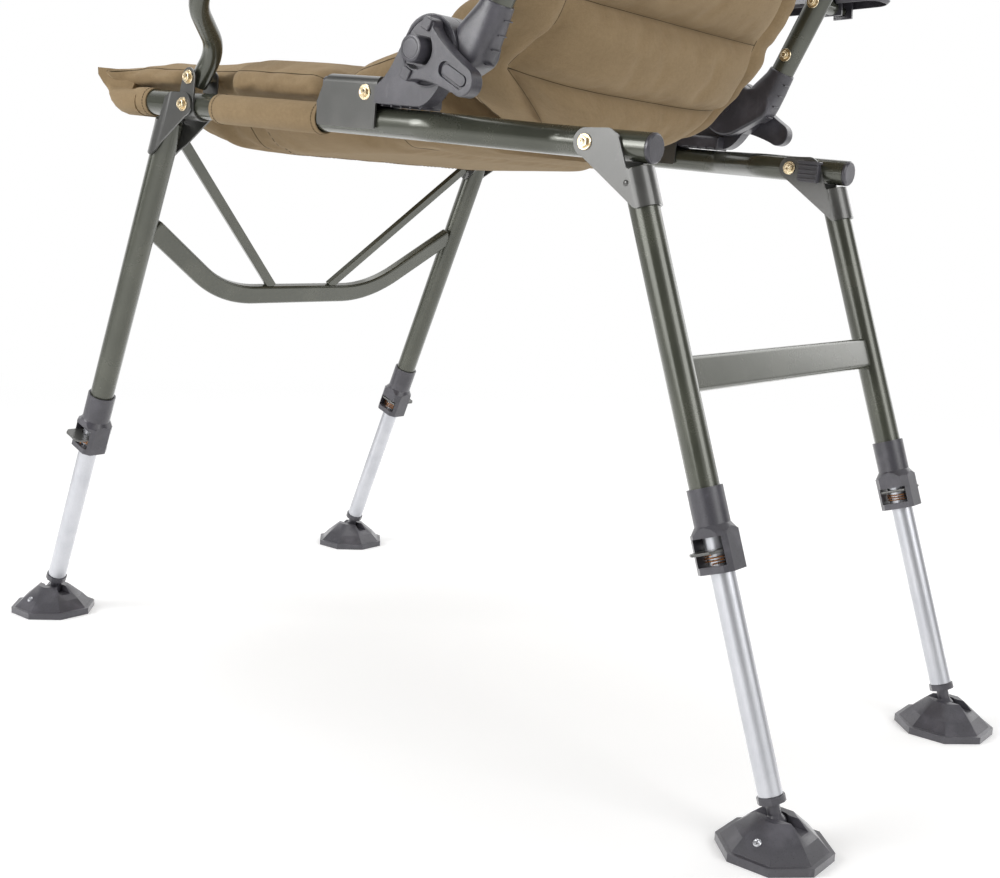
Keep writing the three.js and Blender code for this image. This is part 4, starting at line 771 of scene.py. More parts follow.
@dataclass
class Refit:
    """Bevelled, smooth copies of the CAD pieces, each with its finish."""

    stance: Stance
    finishes: Finishes
    slots: dict = field(default_factory=lambda: {
        "bracket": Slot.PLATE, "hinge_clip": Slot.PLATE, "bolt": Slot.BRASS, "spring": Slot.SPRING,
        "inner_leg": Slot.ALUMINIUM, "lock_plate": Slot.PLATE, "tube": Slot.TUBE, "brace": Slot.TUBE,
        "crossbar": Slot.TUBE, "upright": Slot.TUBE, "armrest_bracket": Slot.PLATE})
    done: set = field(default_factory=set)
    edge: float = 0.0007
    clamp_edge: float = 0.0014

    def slot_of(self, node: str) -> Slot:
        """Finish of a node, by the longest word that its name holds."""
        words = [word for word in self.slots if word in node]
        return self.slots[max(words, key=len)] if words else Slot.PLASTIC

    def body_of(self, node: str) -> str:
        """Body that a node belongs to."""
        bodies = self.stance.frame["record"]["behaviour"]["bodies"]
        return next(body for body, nodes in bodies.items() if node in nodes)

    def copy(self, node: str) -> bpy.types.Object:
        """Puts a refined copy in the place of its node."""
        clamp = node.endswith(("clamp_left", "clamp_right"))
        return self.settle(self.shape(node, self.clamp_edge if clamp else self.edge), node, self.slot_of(node))

    def shape(self, node: str, bevel: float, segments: int = 2, angle: float = 30,
              smooth: float = 40) -> bpy.types.Object:
        """Makes a refined copy of a node.

        Args:
            node: Name of the CAD node.
            bevel: Width of the rounding of its edges.
            segments: Steps of that rounding.
            angle: Edges sharper than this, in degrees, are rounded.
            smooth: Edges blunter than this, in degrees, are shaded smooth.

        Returns:
            The new piece.
        """
        source = self.stance.frame["nodes"][node]
        piece = bpy.data.objects.new(f"{node}_fine", source.data.copy())
        bpy.context.scene.collection.objects.link(piece)
        Bench.grasp(piece)
        bpy.ops.object.mode_set(mode="EDIT")
        bpy.ops.mesh.select_all(action="SELECT")
        bpy.ops.mesh.remove_doubles(threshold=0.00002)
        bpy.ops.mesh.dissolve_limited(angle_limit=math.radians(0.8))
        bpy.ops.object.mode_set(mode="OBJECT")
        Bench.modify(piece, "BEVEL", width=bevel, segments=segments, limit_method="ANGLE",
                     angle_limit=math.radians(angle), miter_outer="MITER_ARC", harden_normals=False)
        bpy.ops.object.shade_smooth_by_angle(angle=math.radians(smooth))
        return piece

    def settle(self, piece: bpy.types.Object, node: str, slot: Slot, *more: str) -> bpy.types.Object:
        """Gives a piece the place of its node: finish, body and the node it stands for."""
        self.attach(piece, node, slot)
        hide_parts(node, *more)
        self.done |= {node, *more}
        return piece

    def attach(self, piece: bpy.types.Object, node: str, slot: Slot) -> bpy.types.Object:
        """Gives a piece its finish and the body of a node that it is fixed to."""
        self.finishes.dress(piece, slot)
        if slot is not Slot.CLOTH:
            Bench.modify(piece, "WEIGHTED_NORMAL", mode="FACE_AREA", keep_sharp=True)
        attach(piece, self.body_of(node))
        return piece

    def sew(self, piece: bpy.types.Object, node: str, finish: bpy.types.Material) -> None:
        """Fixes a cloth piece to a node's body, in a finish of its own."""
        self.attach(piece, node, Slot.CLOTH)
        piece.data.materials[0] = finish

    def pair(self, piece: bpy.types.Object, node: str, slot: Slot, stands: bool = True) -> None:
        """Settles a left piece and its mirrored twin on the right.

        Args:
            piece: The left piece, its name holding the word left.
            node: The left CAD node that it stands for or is fixed to.
            slot: Its finish.
            stands: Whether it stands for the node.
        """
        twin = Bench.mirror(piece, piece.name.replace("left", "right"))
        settle = self.settle if stands else self.attach
        settle(piece, node, slot)
        settle(twin, node.replace("left", "right"), slot)


@dataclass
class Tubes:
    """The bent tubes: seat frame, back hoop, uprights, outer and inner legs, and the front brace."""

    stance: Stance
    refit: Refit
    radius: float = 0.0125
    wall: float = 0.0015
    front_half: float = 0.244
    rear_half: float = 0.181
    tail: float = 0.056
    jog: tuple[float, float] = (-0.040, -0.127)
    front_bar: float = -0.552
    bend: float = 0.040
    hoop_behind: float = 0.034
    hoop_start: float = 0.024
    hoop_top: float = 0.652
    hoop_bend: float = 0.072
    pin_height: float = 0.138
    pin_radius: float = 0.004
    pin_proud: float = 0.003
    pin_reach: float = 0.0145
    spacer_radius: float = 0.0075
    washer: float = 0.002
    lug: float = 0.0148
    rod_bevel: float = 0.0006
    upright_radius: float = 0.0095
    upright_corner: float = 0.036
    upright_crank: float = 0.045
    upright_outset: float = 0.049
    upright_bend: float = 0.045
    upright_ends: tuple[float, float] = (0.006, 0.008)
    inner_radius: float = 0.010
    leg_behind: float = 0.033
    brace_low: float = -0.225
    brace_corner: float = 0.117
    brace_end: float = 0.2335
    brace_half: float = 0.011
    brace_depth: float = 0.0055
    brace_rise: float = math.radians(34.3)
    brace_bend: float = 0.150
    brace_bevel: float = 0.0025
    strut_foot: tuple[float, float] = (0.046, -0.2155)
    strut_head: tuple[float, float] = (0.2285, -0.044)
    strut_half: float = 0.0055
    strut_depth: float = 0.003
    strut_bevel: float = 0.0008

    def build(self) -> None:
        """Builds and places them all."""
        self.seat_frame()
        self.back_hoop()
        self.upright()
        for row in ("front", "rear"):
            self.leg(row)
        self.brace()

    def brace(self) -> None:
        """Bent brace between the front legs, with its two flat struts."""
        place = self.stance.front_leg @ Matrix.Translation((0, self.leg_behind, 0)) @ ALONG
        tall, bend, rise = self.brace_half, self.brace_bend, self.brace_rise
        middle = (self.brace_corner - bend * math.tan(rise / 2), self.brace_low + bend)
        turn = math.degrees(rise) - 90
        tip = self.brace_low + (self.brace_end - self.brace_corner) * math.tan(rise)
        out, up = tall * math.sin(rise), tall * math.cos(rise)
        half = Outline().arc(middle, bend + tall, -90, turn, 14).to(
            (self.brace_end + out, tip - up), (self.brace_end - out, tip + up)).arc(
            middle, bend - tall, turn, -90, 14).points
        bar = slab("brace", Outline().to(*half, *[(-x, z) for x, z in reversed(half)]), -self.brace_depth,
                   self.brace_depth, place, self.brace_bevel)
        foot, head = Vector(self.strut_foot), Vector(self.strut_head)
        off = (head - foot).normalized().orthogonal() * self.strut_half
        struts = []
        for side in SIDES.values():
            plan = [(side * point.x, point.y) for point in (foot - off, foot + off, head + off, head - off)]
            struts.append(slab("strut", Outline().to(*plan[::side]), -self.strut_depth, self.strut_depth, place,
                               self.strut_bevel))
        self.refit.settle(Bench.joined("front_brace_fine", [bar, *struts]), "front_brace", Slot.TUBE)

    def seat_frame(self) -> None:
        """Two rails that jog inwards behind the hinge, joined by the front bar."""
        half = [(self.rear_half, self.tail), (self.rear_half, self.jog[0]), (self.front_half, self.jog[1]),
                (self.front_half, self.front_bar)]
        flat = half + [(-x, y) for x, y in reversed(half)]
        corners = [self.stance.rail @ Vector((x, y, 0)) for x, y in flat]
        tube = bent_tube("seat_frame", corners, self.radius, self.bend)
        self.refit.settle(tube, "seat_frame_tube", Slot.TUBE)

    def back_hoop(self) -> None:
        """Hoop of the back with the two pins and spacers of the armrests."""
        half = [(self.front_half, self.hoop_start), (self.front_half, self.hoop_top)]
        flat = half + [(-x, z) for x, z in reversed(half)]
        corners = [self.stance.back @ Vector((x, self.hoop_behind, z)) for x, z in flat]
        hoop = bent_tube("back_hoop", corners, self.radius, self.hoop_bend)
        place = self.stance.back @ Matrix.Translation((0, self.hoop_behind, self.pin_height)) @ ACROSS
        inner = self.front_half + self.radius - self.wall
        middle = self.front_half + self.upright_outset
        rods = [(self.pin_radius, inner, middle + self.lug + self.pin_proud),
                (self.spacer_radius, inner, middle - self.lug),
                (self.spacer_radius, middle + self.lug, middle + self.lug + self.washer)]
        pieces = [hoop]
        for radius, low, high in rods:
            for side in SIDES.values():
                ends = sorted((side * low, side * high))
                pieces.append(slab("pin", Outline.ring(radius, 32), *ends, place, self.rod_bevel))
        self.refit.settle(Bench.joined("back_hoop", pieces), "backrest_tube", Slot.TUBE)

    def upright(self) -> None:
        """Cranked uprights, with the cross pin at the top."""
        foot = self.stance.pivot("upright_left_swing")
        head = self.stance.pivot("armrest_left_level")
        run = head - foot
        length = math.hypot(run.y, run.z)
        lean = math.atan2(-run.y, run.z)
        place = Matrix.Translation(foot) @ Matrix.Rotation(lean, 4, "X")
        below, above = self.upright_ends
        line = [(0, -below), (0, self.upright_corner),
                (self.upright_outset, self.upright_corner + self.upright_crank),
                (self.upright_outset, length + above)]
        corners = [place @ Vector((x, 0, z)) for x, z in line]
        bar = bent_tube("upright_left", corners, self.upright_radius, self.upright_bend)
        pin = slab("pin", Outline.ring(self.pin_radius, 32), self.upright_outset - self.pin_reach,
                   self.upright_outset + self.pin_reach, place @ Matrix.Translation((0, 0, length)) @ ACROSS,
                   self.rod_bevel)
        self.refit.pair(Bench.joined("upright_left", [bar, pin]), "armrest_upright_left", Slot.TUBE)

    def leg(self, row: str) -> None:
        """Outer and inner leg of one row, straight down the leg's own line."""
        place = self.stance.front_leg if row == "front" else self.stance.rear_leg
        half = self.front_half if row == "front" else self.rear_half
        for part, radius in (("leg_tube", self.radius), ("inner_leg", self.inner_radius)):
            node = f"{row}_{part}_left"
            low, high = self.span(node, place)
            ends = [place @ Vector((half, self.leg_behind, height)) for height in (high, low)]
            tube = bent_tube(f"{row}_{part}_left_fine", ends, radius, 0.03, sides=40)
            self.refit.pair(tube, node, self.refit.slot_of(node))

    def span(self, node: str, place: Matrix) -> tuple[float, float]:
        """Lowest and highest point of a node along its leg."""
        back = place.inverted()
        source = self.stance.frame["nodes"][node]
        heights = [(back @ (source.matrix_world @ vertex.co)).z for vertex in source.data.vertices]
        return min(heights), max(heights)


@dataclass
class Plates:
    """Folded sheet: leg brackets, armrest saddles and the clips over the hinge feet, and the rear catch.

    The shoulder is drawn in Y and Z from a bracket's pivot, the toe from its leg. The dimple is a profile of
    radius and height.
    """

    stance: Stance
    refit: Refit
    tubes: Tubes
    sheet: float = 0.002
    gap: float = 0.00035
    ear: float = 0.0115
    edge: float = 0.0005
    bracket_front: float = -0.0125
    bracket_top: float = 0.0125
    bracket_low: float = -0.066
    joggle: tuple[float, float] = (0.013, 0.0065)
    shoulder: tuple = ((0.0245, 0.0035), (0.0275, 0.002), (0.029, -0.0005), (0.0322, -0.005))
    toe: tuple = ((0.002, -0.066), (-0.001, -0.066), (-0.003, -0.0625))
    dimple: tuple = ((0, 0.0011), (0.0012, 0.0010), (0.0021, 0.0006), (0.0026, 0), (0, -0.0004))
    dimple_place: tuple[float, float] = (0.030, -0.044)
    saddle_y: float = -0.438
    saddle_top: float = 0.0365
    saddle_half: float = 0.012
    saddle_low: float = -0.0165
    saddle_eye: tuple[float, float] = (0.004, 0.026)
    clip_half: float = 0.0131
    clip_roof: float = 0.03585
    clip_drop: float = 0.007
    clip_corner: float = 0.0075
    clip_ends: tuple[float, float] = (0.178, 0.251)
    catch_place: tuple[float, float] = (0.024, -0.003)
    catch_half: tuple[float, float] = (0.011, 0.0095)
    catch_ribs: tuple = (-0.0065, -0.0022, 0.0022, 0.0065)

    def build(self) -> None:
        """Builds and places them all."""
        self.leg_bracket("front")
        self.leg_bracket("rear")
        self.saddle()
        self.clip()
        self.catch()

    def leg_bracket(self, row: str) -> None:
        """Plate bent round the leg and trimmed to its side outline; a rear one has a pressed dimple."""
        front = row == "front"
        place = self.stance.front_leg if front else self.stance.rear_leg
        half = self.tubes.front_half if front else self.tubes.rear_half
        rail_angle = self.stance.front_lean - self.stance.rail_pitch if front else (
            self.stance.rear_lean + self.stance.rail_pitch)
        ear_low = self.tubes.radius + self.gap + (self.sheet + self.gap if front else 0)
        wrap_low = self.tubes.radius + self.gap
        leg = self.tubes.leg_behind
        plan = Outline()
        for ear, wrap, turn in ((ear_low + self.sheet, wrap_low + self.sheet, 1), (ear_low, wrap_low, -1)):
            folds = [leg - part for part in self.joggle]
            half_plan = Outline().to((ear, self.bracket_front), (ear, folds[0]), (wrap, folds[1])).arc(
                (0, leg), wrap, 0, 180, 24).to((-wrap, folds[1]), (-ear, folds[0]), (-ear, self.bracket_front))
            plan.to(*half_plan.points[::turn])
        shift = place @ Matrix.Translation((half, 0, 0))
        bracket = slab(f"{row}_bracket_left", plan, self.bracket_low, self.bracket_top, shift)
        reach = leg + wrap_low + self.sheet
        stop = reach * math.tan(rail_angle) + self.tubes.radius / math.cos(rail_angle) + 0.0006
        first, bend, last, neck = self.shoulder
        corner, toe_bend, toe_end = [(leg + y, z) for y, z in self.toe]
        side = Outline().arc((0, 0), self.ear, 235, 75, 20).to(first).curve(bend, last).to(
            neck, (leg, -stop + self.sheet), (leg + self.sheet, -stop), (reach + 0.001, -stop),
            (reach + 0.001, self.bracket_low)).to(corner).curve(toe_bend, toe_end)
        self.trim(bracket, side, 0.03, shift)
        if not front:
            spot = facing((wrap_low + self.sheet, *self.dimple_place))
            dimple = turned("dimple", self.dimple, shift @ spot, 20, 60)
            bracket = Bench.joined(bracket.name, [bracket, dimple])
        self.refit.pair(bracket, f"{row}_leg_bracket_left", Slot.PLATE)

    def trim(self, sheet: bpy.types.Object, side: Outline, half: float, place: Matrix) -> None:
        """Cuts a folded sheet to its outline seen from the side and breaks its edges."""
        Bench.combine(sheet, slab("trim", side, -half, half, place @ ACROSS), "INTERSECT")
        Bench.round_edges(sheet, self.edge, 2)

    def saddle(self) -> None:
        """Saddle under the rail whose ears carry the armrest upright."""
        low, top = self.tubes.radius + self.gap, self.saddle_top
        section = Outline().to((low + self.sheet, top)).arc((0, 0), low + self.sheet, 0, -180, 28).to(
            (-low - self.sheet, top), (-low, top)).arc((0, 0), low, 180, 360, 28).to((low, top))
        place = self.stance.rail @ Matrix.Translation((self.tubes.front_half, self.saddle_y, 0))
        saddle = slab("saddle_left", section, -0.0215, 0.0215, place @ ALONG)
        half, base = self.saddle_half, self.saddle_low
        side = Outline().to((-half, base), (half, base), (half, 0)).arc(
            self.saddle_eye, 0.0095, 0, 180, 24).to((-half, 0))
        self.trim(saddle, side, 0.018, place)
        self.refit.pair(saddle, "armrest_bracket_left", Slot.PLATE)

    def clip(self) -> None:
        """Sheet folded over the hinge foot and down both sides of the rail."""
        inner, roof, drop = self.clip_half, self.clip_roof, self.clip_drop
        corner, tight = self.clip_corner, self.clip_corner - self.sheet
        outer = Outline().to((inner + self.sheet, -drop))
        outer.arc((inner + self.sheet - corner, roof + self.sheet - corner), corner, 0, 90, 10)
        outer.arc((corner - inner - self.sheet, roof + self.sheet - corner), corner, 90, 180, 10)
        outer.to((-inner - self.sheet, -drop), (-inner, -drop))
        outer.arc((tight - inner, roof - tight), tight, 180, 90, 10)
        outer.arc((inner - tight, roof - tight), tight, 90, 0, 10).to((inner, -drop))
        place = self.stance.rail @ Matrix.Translation((self.tubes.front_half, 0, 0))
        sheet = slab("hinge_clip_sheet_left", outer, *self.clip_ends, place @ ALONG)
        side = Outline().to((-0.2510, 0.0125), (-0.2495, -0.003)).curve((-0.2495, -0.0075), (-0.245, -0.0075))
        side.to((-0.181, -0.0075)).curve((-0.178, -0.0075), (-0.178, -0.0045)).to((-0.178, 0.034)).curve(
            (-0.178, 0.039), (-0.182, 0.039)).to((-0.236, 0.039)).curve((-0.2395, 0.039), (-0.2415, 0.034))
        self.trim(sheet, side, 0.02, place)
        self.refit.pair(sheet, "hinge_clip_left", Slot.PLATE)

    def catch(self) -> None:
        """Ridged plastic catch on the inner ear of each rear bracket."""
        place = self.stance.rear_leg @ Matrix.Rotation(-self.stance.rear_lean - self.stance.rail_pitch, 4, "X")
        inside = self.tubes.rear_half - self.tubes.radius - self.gap - self.sheet
        shift = place @ Matrix.Translation((inside, *self.catch_place)) @ ACROSS
        wide, tall = self.catch_half
        body = slab("rear_catch_left", Outline.box((-wide, -tall), (wide, tall), 0.002), -0.0065, 0.0002, shift,
                    0.0008)
        ribs = [slab("rib", Outline.box((-0.0105, z - 0.0009), (0.0105, z + 0.0009)), -0.0078, -0.006, shift,
                     0.0003) for z in self.catch_ribs]
        lip = slab("lip", Outline.box((-0.0125, 0.0085), (0.0125, 0.0115), 0.001), -0.0085, 0.0002, shift,
                   0.0005)
        self.refit.pair(Bench.joined("rear_catch_left", [body, *ribs, lip]), "rear_leg_bracket_left",
                        Slot.PLASTIC, stands=False)


@dataclass
class Hinges:
    """The recline hinge of each side: moulded foot, moulded arm and clamping knob.

    Each bar has its top, near end and far end. The foot's ribs are a count, a start, a pitch and a thickness,
    the arm's a count, a pitch and half a thickness. Each level of the socket has its height, half width, front,
    rear and squareness. Rim and hub are profiles of radius and height.
    """

    stance: Stance
    refit: Refit
    tubes: Tubes
    ahead: float = 0.1192
    rise: float = 0.0594
    disc: float = 0.030
    split: float = 0.0018
    outer_face: float = 0.0176
    bar_half: float = 0.0124
    bar_low: float = 0.0145
    bar_corner: float = 0.005
    bars: tuple = ((0.0355, 0.1800, 0.248), (0.0280, 0.126, 0.1805))
    foot_ribs: tuple = (5, 0.1275, 0.011, 0.0025)
    rim: tuple = ((0.0265, -0.001), (0.0265, 0.0006), (0.0278, 0.0012), (0.0288, 0.0004), (0.0292, -0.001))
    socket_levels: tuple = (
        (0.0602, 0.0134, 0.0206, 0.0474, 2.0), (0.0594, 0.0140, 0.0200, 0.0480, 2.0),
        (0.0530, 0.0142, 0.0192, 0.0482, 2.1), (0.0470, 0.0145, 0.0172, 0.0482, 2.3),
        (0.0400, 0.0150, 0.0150, 0.0480, 2.7), (0.0320, 0.0153, 0.0122, 0.0477, 3.1),
        (0.0240, 0.0155, 0.0104, 0.0474, 3.5), (0.0160, 0.0155, 0.0100, 0.0468, 3.7),
        (0.0090, 0.0152, 0.0104, 0.0445, 3.7), (0.0030, 0.0146, 0.0116, 0.0400, 3.5),
        (0.0005, 0.0130, 0.0140, 0.0350, 3.0))
    disc_gap: float = 0.0308
    arm_ribs: tuple[int, float, float] = (4, 0.0125, 0.0006)
    knob_turn: float = math.radians(-29)
    knob_base: float = 0.0183
    knob_top: float = 0.0313
    knob_tip: float = 0.0055
    knob_span: float = 0.022
    knob_reach: float = 0.055
    knob_lobe: float = 0.012
    hub_bore: float = 0.0162
    hub: tuple = ((0.0112, 0.0385), (0.0108, 0.0396), (0.0098, 0.0401), (0.0086, 0.0401), (0.0083, 0.0397),
                  (0.0080, 0.0397), (0.0077, 0.0400), (0, 0.0402))

    def build(self) -> None:
        """Builds and places them all."""
        self.foot()
        self.arm()
        self.knob()

    def foot(self) -> None:
        """Bar under the clip, the outer disc that grows out of it, and ribs below."""
        place = self.stance.rail @ Matrix.Translation((self.tubes.front_half, 0, 0))
        cheek = Outline().to((-0.1777, 0.0150), (-0.126, 0.0150)).curve((-0.1150, 0.0160), (-0.1042, 0.0334), 8)
        cheek.arc((-self.ahead, self.rise), self.disc, -60, 138, 44).to((-0.1570, 0.0520)).curve(
            (-0.1640, 0.0380), (-0.1777, 0.0290), 8)
        outer = slab("cheek", cheek, self.split, self.outer_face, place @ ACROSS, 0.0022, 4)
        half, low, corner = self.bar_half, self.bar_low, self.bar_corner
        bars = []
        for top, near, far in self.bars:
            section = Outline().to((-half, low), (half, low))
            section.arc((half - corner, top - corner), corner, 0, 90, 8)
            section.arc((corner - half, top - corner), corner, 90, 180, 8)
            bars.append(slab("bar", section, near, far, place @ ALONG, 0.0008))
        count, start, pitch, thick = self.foot_ribs
        ribs = [slab("rib", Outline.box((-half, 0.0131), (half, 0.0165)), start + pitch * i,
                     start + thick + pitch * i, place @ ALONG, 0.0004) for i in range(count)]
        rim = turned("rim", self.rim, place @ facing((self.outer_face, -self.ahead, self.rise)), 64)
        whole = Bench.joined("hinge_seat_left", [outer, *bars, *ribs, rim])
        self.refit.pair(whole, "hinge_foot_left", Slot.PLASTIC)

    def arm(self) -> None:
        """Inner disc that grows into the socket of the back tube, round and close to it at the top."""
        place = self.stance.back @ Matrix.Translation((self.tubes.front_half, 0, 0))
        elbow = Outline().to((0.0445, 0.0260), (0.0400, 0.0340), (0.0200, 0.0340), (0.0135, 0.0300)).arc(
            (0, 0), self.disc, 70, 324, 48).to((0.0440, 0.0085)).curve((0.0462, 0.0115), (0.0465, 0.0180), 6)
        inner = slab("inner", elbow, -0.0150, 0.0014, place @ ACROSS, 0.0042, 5)
        socket = drawn("socket", [oval((-wide, front), (wide, rear), height, power)
                                  for height, wide, front, rear, power in self.socket_levels], place)
        clear = slab("clear", Outline.ring(self.disc_gap, 64), 0.0016, 0.03, place @ ACROSS)
        Bench.combine(socket, clear, "DIFFERENCE")
        body = Bench.combine(inner, socket, "UNION")
        bore = slab("bore", Outline.ring(0.01285, 40, (0, 0.034)), 0.0236, 0.07, place)
        Bench.combine(body, bore, "DIFFERENCE")
        bpy.ops.object.shade_smooth_by_angle(angle=math.radians(30))
        count, pitch, half = self.arm_ribs
        ribs = [slab("rib", Outline.box((0.0440, pitch * i - half), (0.0490, pitch * i + half)), -0.0085,
                     0.0020, place @ ACROSS, 0.0004) for i in range(1, count + 1)]
        whole = Bench.joined("hinge_elbow_left", [body, *ribs])
        self.refit.pair(whole, "hinge_arm_left", Slot.PLASTIC)

    def knob(self) -> None:
        """Clamping knob: C-shaped wing round a proud hub, two block tips and a thumb lobe."""
        place = Matrix.Translation(self.stance.pivot("recline")) @ Matrix.Translation(
            (self.tubes.front_half, 0, 0)) @ Matrix.Rotation(self.knob_turn, 4, "X") @ ACROSS
        base, top, tip, span = self.knob_base, self.knob_top, self.knob_tip, self.knob_span
        wing = Outline().arc((0, span), tip, 20, 180, 10).to((-tip, span - 0.008)).to(
            (-tip, 0.008 - span)).arc((0, -span), tip, 180, 340, 10)
        wing.curve((0.020, -0.0150), (self.knob_reach - 0.004, -self.knob_lobe), 16)
        wing.arc((self.knob_reach, 0), self.knob_lobe, -90, 90, 20)
        wing.curve((0.020, 0.0150), (tip, span + 0.001), 16)
        body = slab("wing", wing, base, top, place, 0.0016, 4)
        recess = slab("recess", Outline.ring(self.hub_bore, 56), top - 0.009, top + 0.01, place)
        Bench.combine(body, recess, "DIFFERENCE")
        thumb = slab("thumb", Outline.slot(0.0066, (0.0345, 0), (0.054, 0)), top - 0.0024, top + 0.01, place)
        Bench.combine(body, thumb, "DIFFERENCE")
        Bench.round_edges(body, 0.0005, 2, 50)
        pad = slab("pad", Outline.slot(0.0048, (0.0350, 0), (0.0535, 0)), top - 0.004, top - 0.0012, place,
                   0.0008)
        rise, radius = self.hub, self.hub[0][0]
        hub = turned("hub", [(0, base), (radius, base), *rise], place, 56)
        blocks = [slab("tip", Outline.box((-0.0054, side * span - 0.0050), (0.0040, side * span + 0.0050),
                                          0.0012), top - 0.004, top + 0.0022, place, 0.0007)
                  for side in SIDES.values()]
        stud = slab("stud", Outline.ring(0.004, 24), -0.0165, base + 0.001, place)
        self.refit.pair(Bench.joined("knob_left", [body, pad, hub, *blocks, stud]), "recline_knob_left",
                        Slot.PLASTIC)


@dataclass
class Fasteners:
    """Hex bolts at the pivots, with washers and nuts, and the small screws.

    Washer and dome are profiles of radius and height.
    """

    stance: Stance
    refit: Refit
    tubes: Tubes
    bolts: tuple = ("front_pivot_bolt_left", "rear_pivot_bolt_left", "armrest_pivot_bolt_left")
    head_radius: float = 0.0052
    head_height: float = 0.0040
    washer: tuple = ((0, 0), (0.0066, 0), (0.0068, 0.0004), (0.0064, 0.0011), (0, 0.0012))
    dome: tuple = ((0, -0.0008), (0.0030, -0.0008), (0.0029, 0.0006), (0.0022, 0.0013), (0.0011, 0.0012),
                   (0.0009, 0.0002), (0, 0.0002))
    bolt_depth: float = 0.0044
    shank_radius: float = 0.003
    screw_size: tuple[float, float] = (0.0046, 0.0034)
    clip_screw: tuple[float, float, float] = (0.0151, -0.1915, 0.0235)
    socket_screw: float = 0.078

    def build(self) -> None:
        """Builds and places them all."""
        for node in self.bolts:
            low, high = (Vector(corner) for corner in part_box(node))
            middle = (low + high) / 2
            self.refit.pair(self.bolt(node, low.x, high.x, middle.y, middle.z), node, Slot.BRASS)
        half, radius, back = self.tubes.front_half, self.tubes.radius, self.stance.back
        proud, along, up = self.clip_screw
        clip = self.stance.rail @ Vector((half + proud, along, up))
        self.screw("clip_screw_left", clip, "hinge_clip_left", 1)
        for name, side, height in (("socket_screw_left", -1, self.socket_screw),
                                   ("pin_nut_left", -1, self.tubes.pin_height),
                                   ("socket_head_left", 1, self.socket_screw)):
            place = back @ Vector((half + side * radius, self.tubes.hoop_behind, height))
            self.screw(name, place, "hinge_arm_left", side)

    def head(self, name: str, place: Matrix, radius: float, height: float) -> bpy.types.Object:
        """Hex head on a washer face, with a drilled centre, its outer side along local Z."""
        hexagon = slab(name, Outline.ring(radius, 6), 0.0008, height, place, 0.0006, 3)
        flange = turned("flange", self.washer, place, 40)
        dome = turned("dome", [(x, height + z) for x, z in self.dome], place, 32)
        return Bench.joined(name, [hexagon, flange, dome])

    def bolt(self, name: str, low: float, high: float, y: float, z: float) -> bpy.types.Object:
        """Bolt along X with a head outside and a nut inside."""
        depth, size = self.bolt_depth, (self.head_radius, self.head_height)
        out, inward = facing((high - depth, y, z)), facing((low + depth, y, z), -1)
        shank = slab("shank", Outline.ring(self.shank_radius, 24, (y, z)), low + depth - 0.001,
                     high - depth + 0.001, ACROSS)
        return Bench.joined(f"{name}_fine", [shank, self.head("head", out, *size),
                                             self.head("nut", inward, *size)])

    def screw(self, name: str, place: Vector, node: str, side: int) -> None:
        """Small hex screw that faces along X."""
        head = self.head(name, facing(place, side), *self.screw_size)
        self.refit.pair(head, node, Slot.BRASS, stands=False)


@dataclass
class Feet:
    """Octagonal swivel feet with a tent-like dome, two cheeks and a cross screw."""

    stance: Stance
    refit: Refit
    bevel: float = 0.0022
    screw_share: tuple[float, float, float] = (0.86, 0.5, 0.62)
    pan: tuple = ((0, -0.001), (0.0034, -0.001), (0.0034, 0.0006), (0.0026, 0.0014), (0, 0.0016))
    cross: tuple[float, float] = (0.0018, 0.0005)

    def build(self) -> None:
        """Refines the four feet and adds their screws."""
        for row in ("front", "rear"):
            node = f"{row}_foot_left"
            foot = self.refit.shape(node, self.bevel, 4)
            aim = Vector([mixed(low, high, share) for low, high, share in zip(*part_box(node), self.screw_share)])
            _, place, normal, _ = foot.closest_point_on_mesh(aim)
            turn = Matrix.Translation(place) @ normal.to_track_quat("Z", "Y").to_matrix().to_4x4()
            self.refit.pair(foot, node, Slot.PLASTIC)
            self.refit.pair(self.screw(f"{row}_foot_screw_left", turn), node, Slot.ALUMINIUM, stands=False)

    def screw(self, name: str, place: Matrix) -> bpy.types.Object:
        """Pan head with a cross recess."""
        head = turned(name, self.pan, place, 32)
        for wide, deep in (self.cross, self.cross[::-1]):
            cut = slab("cut", Outline.box((-wide, -deep), (wide, deep)), 0.0007, 0.003, place)
            Bench.combine(head, cut, "DIFFERENCE")
        return head


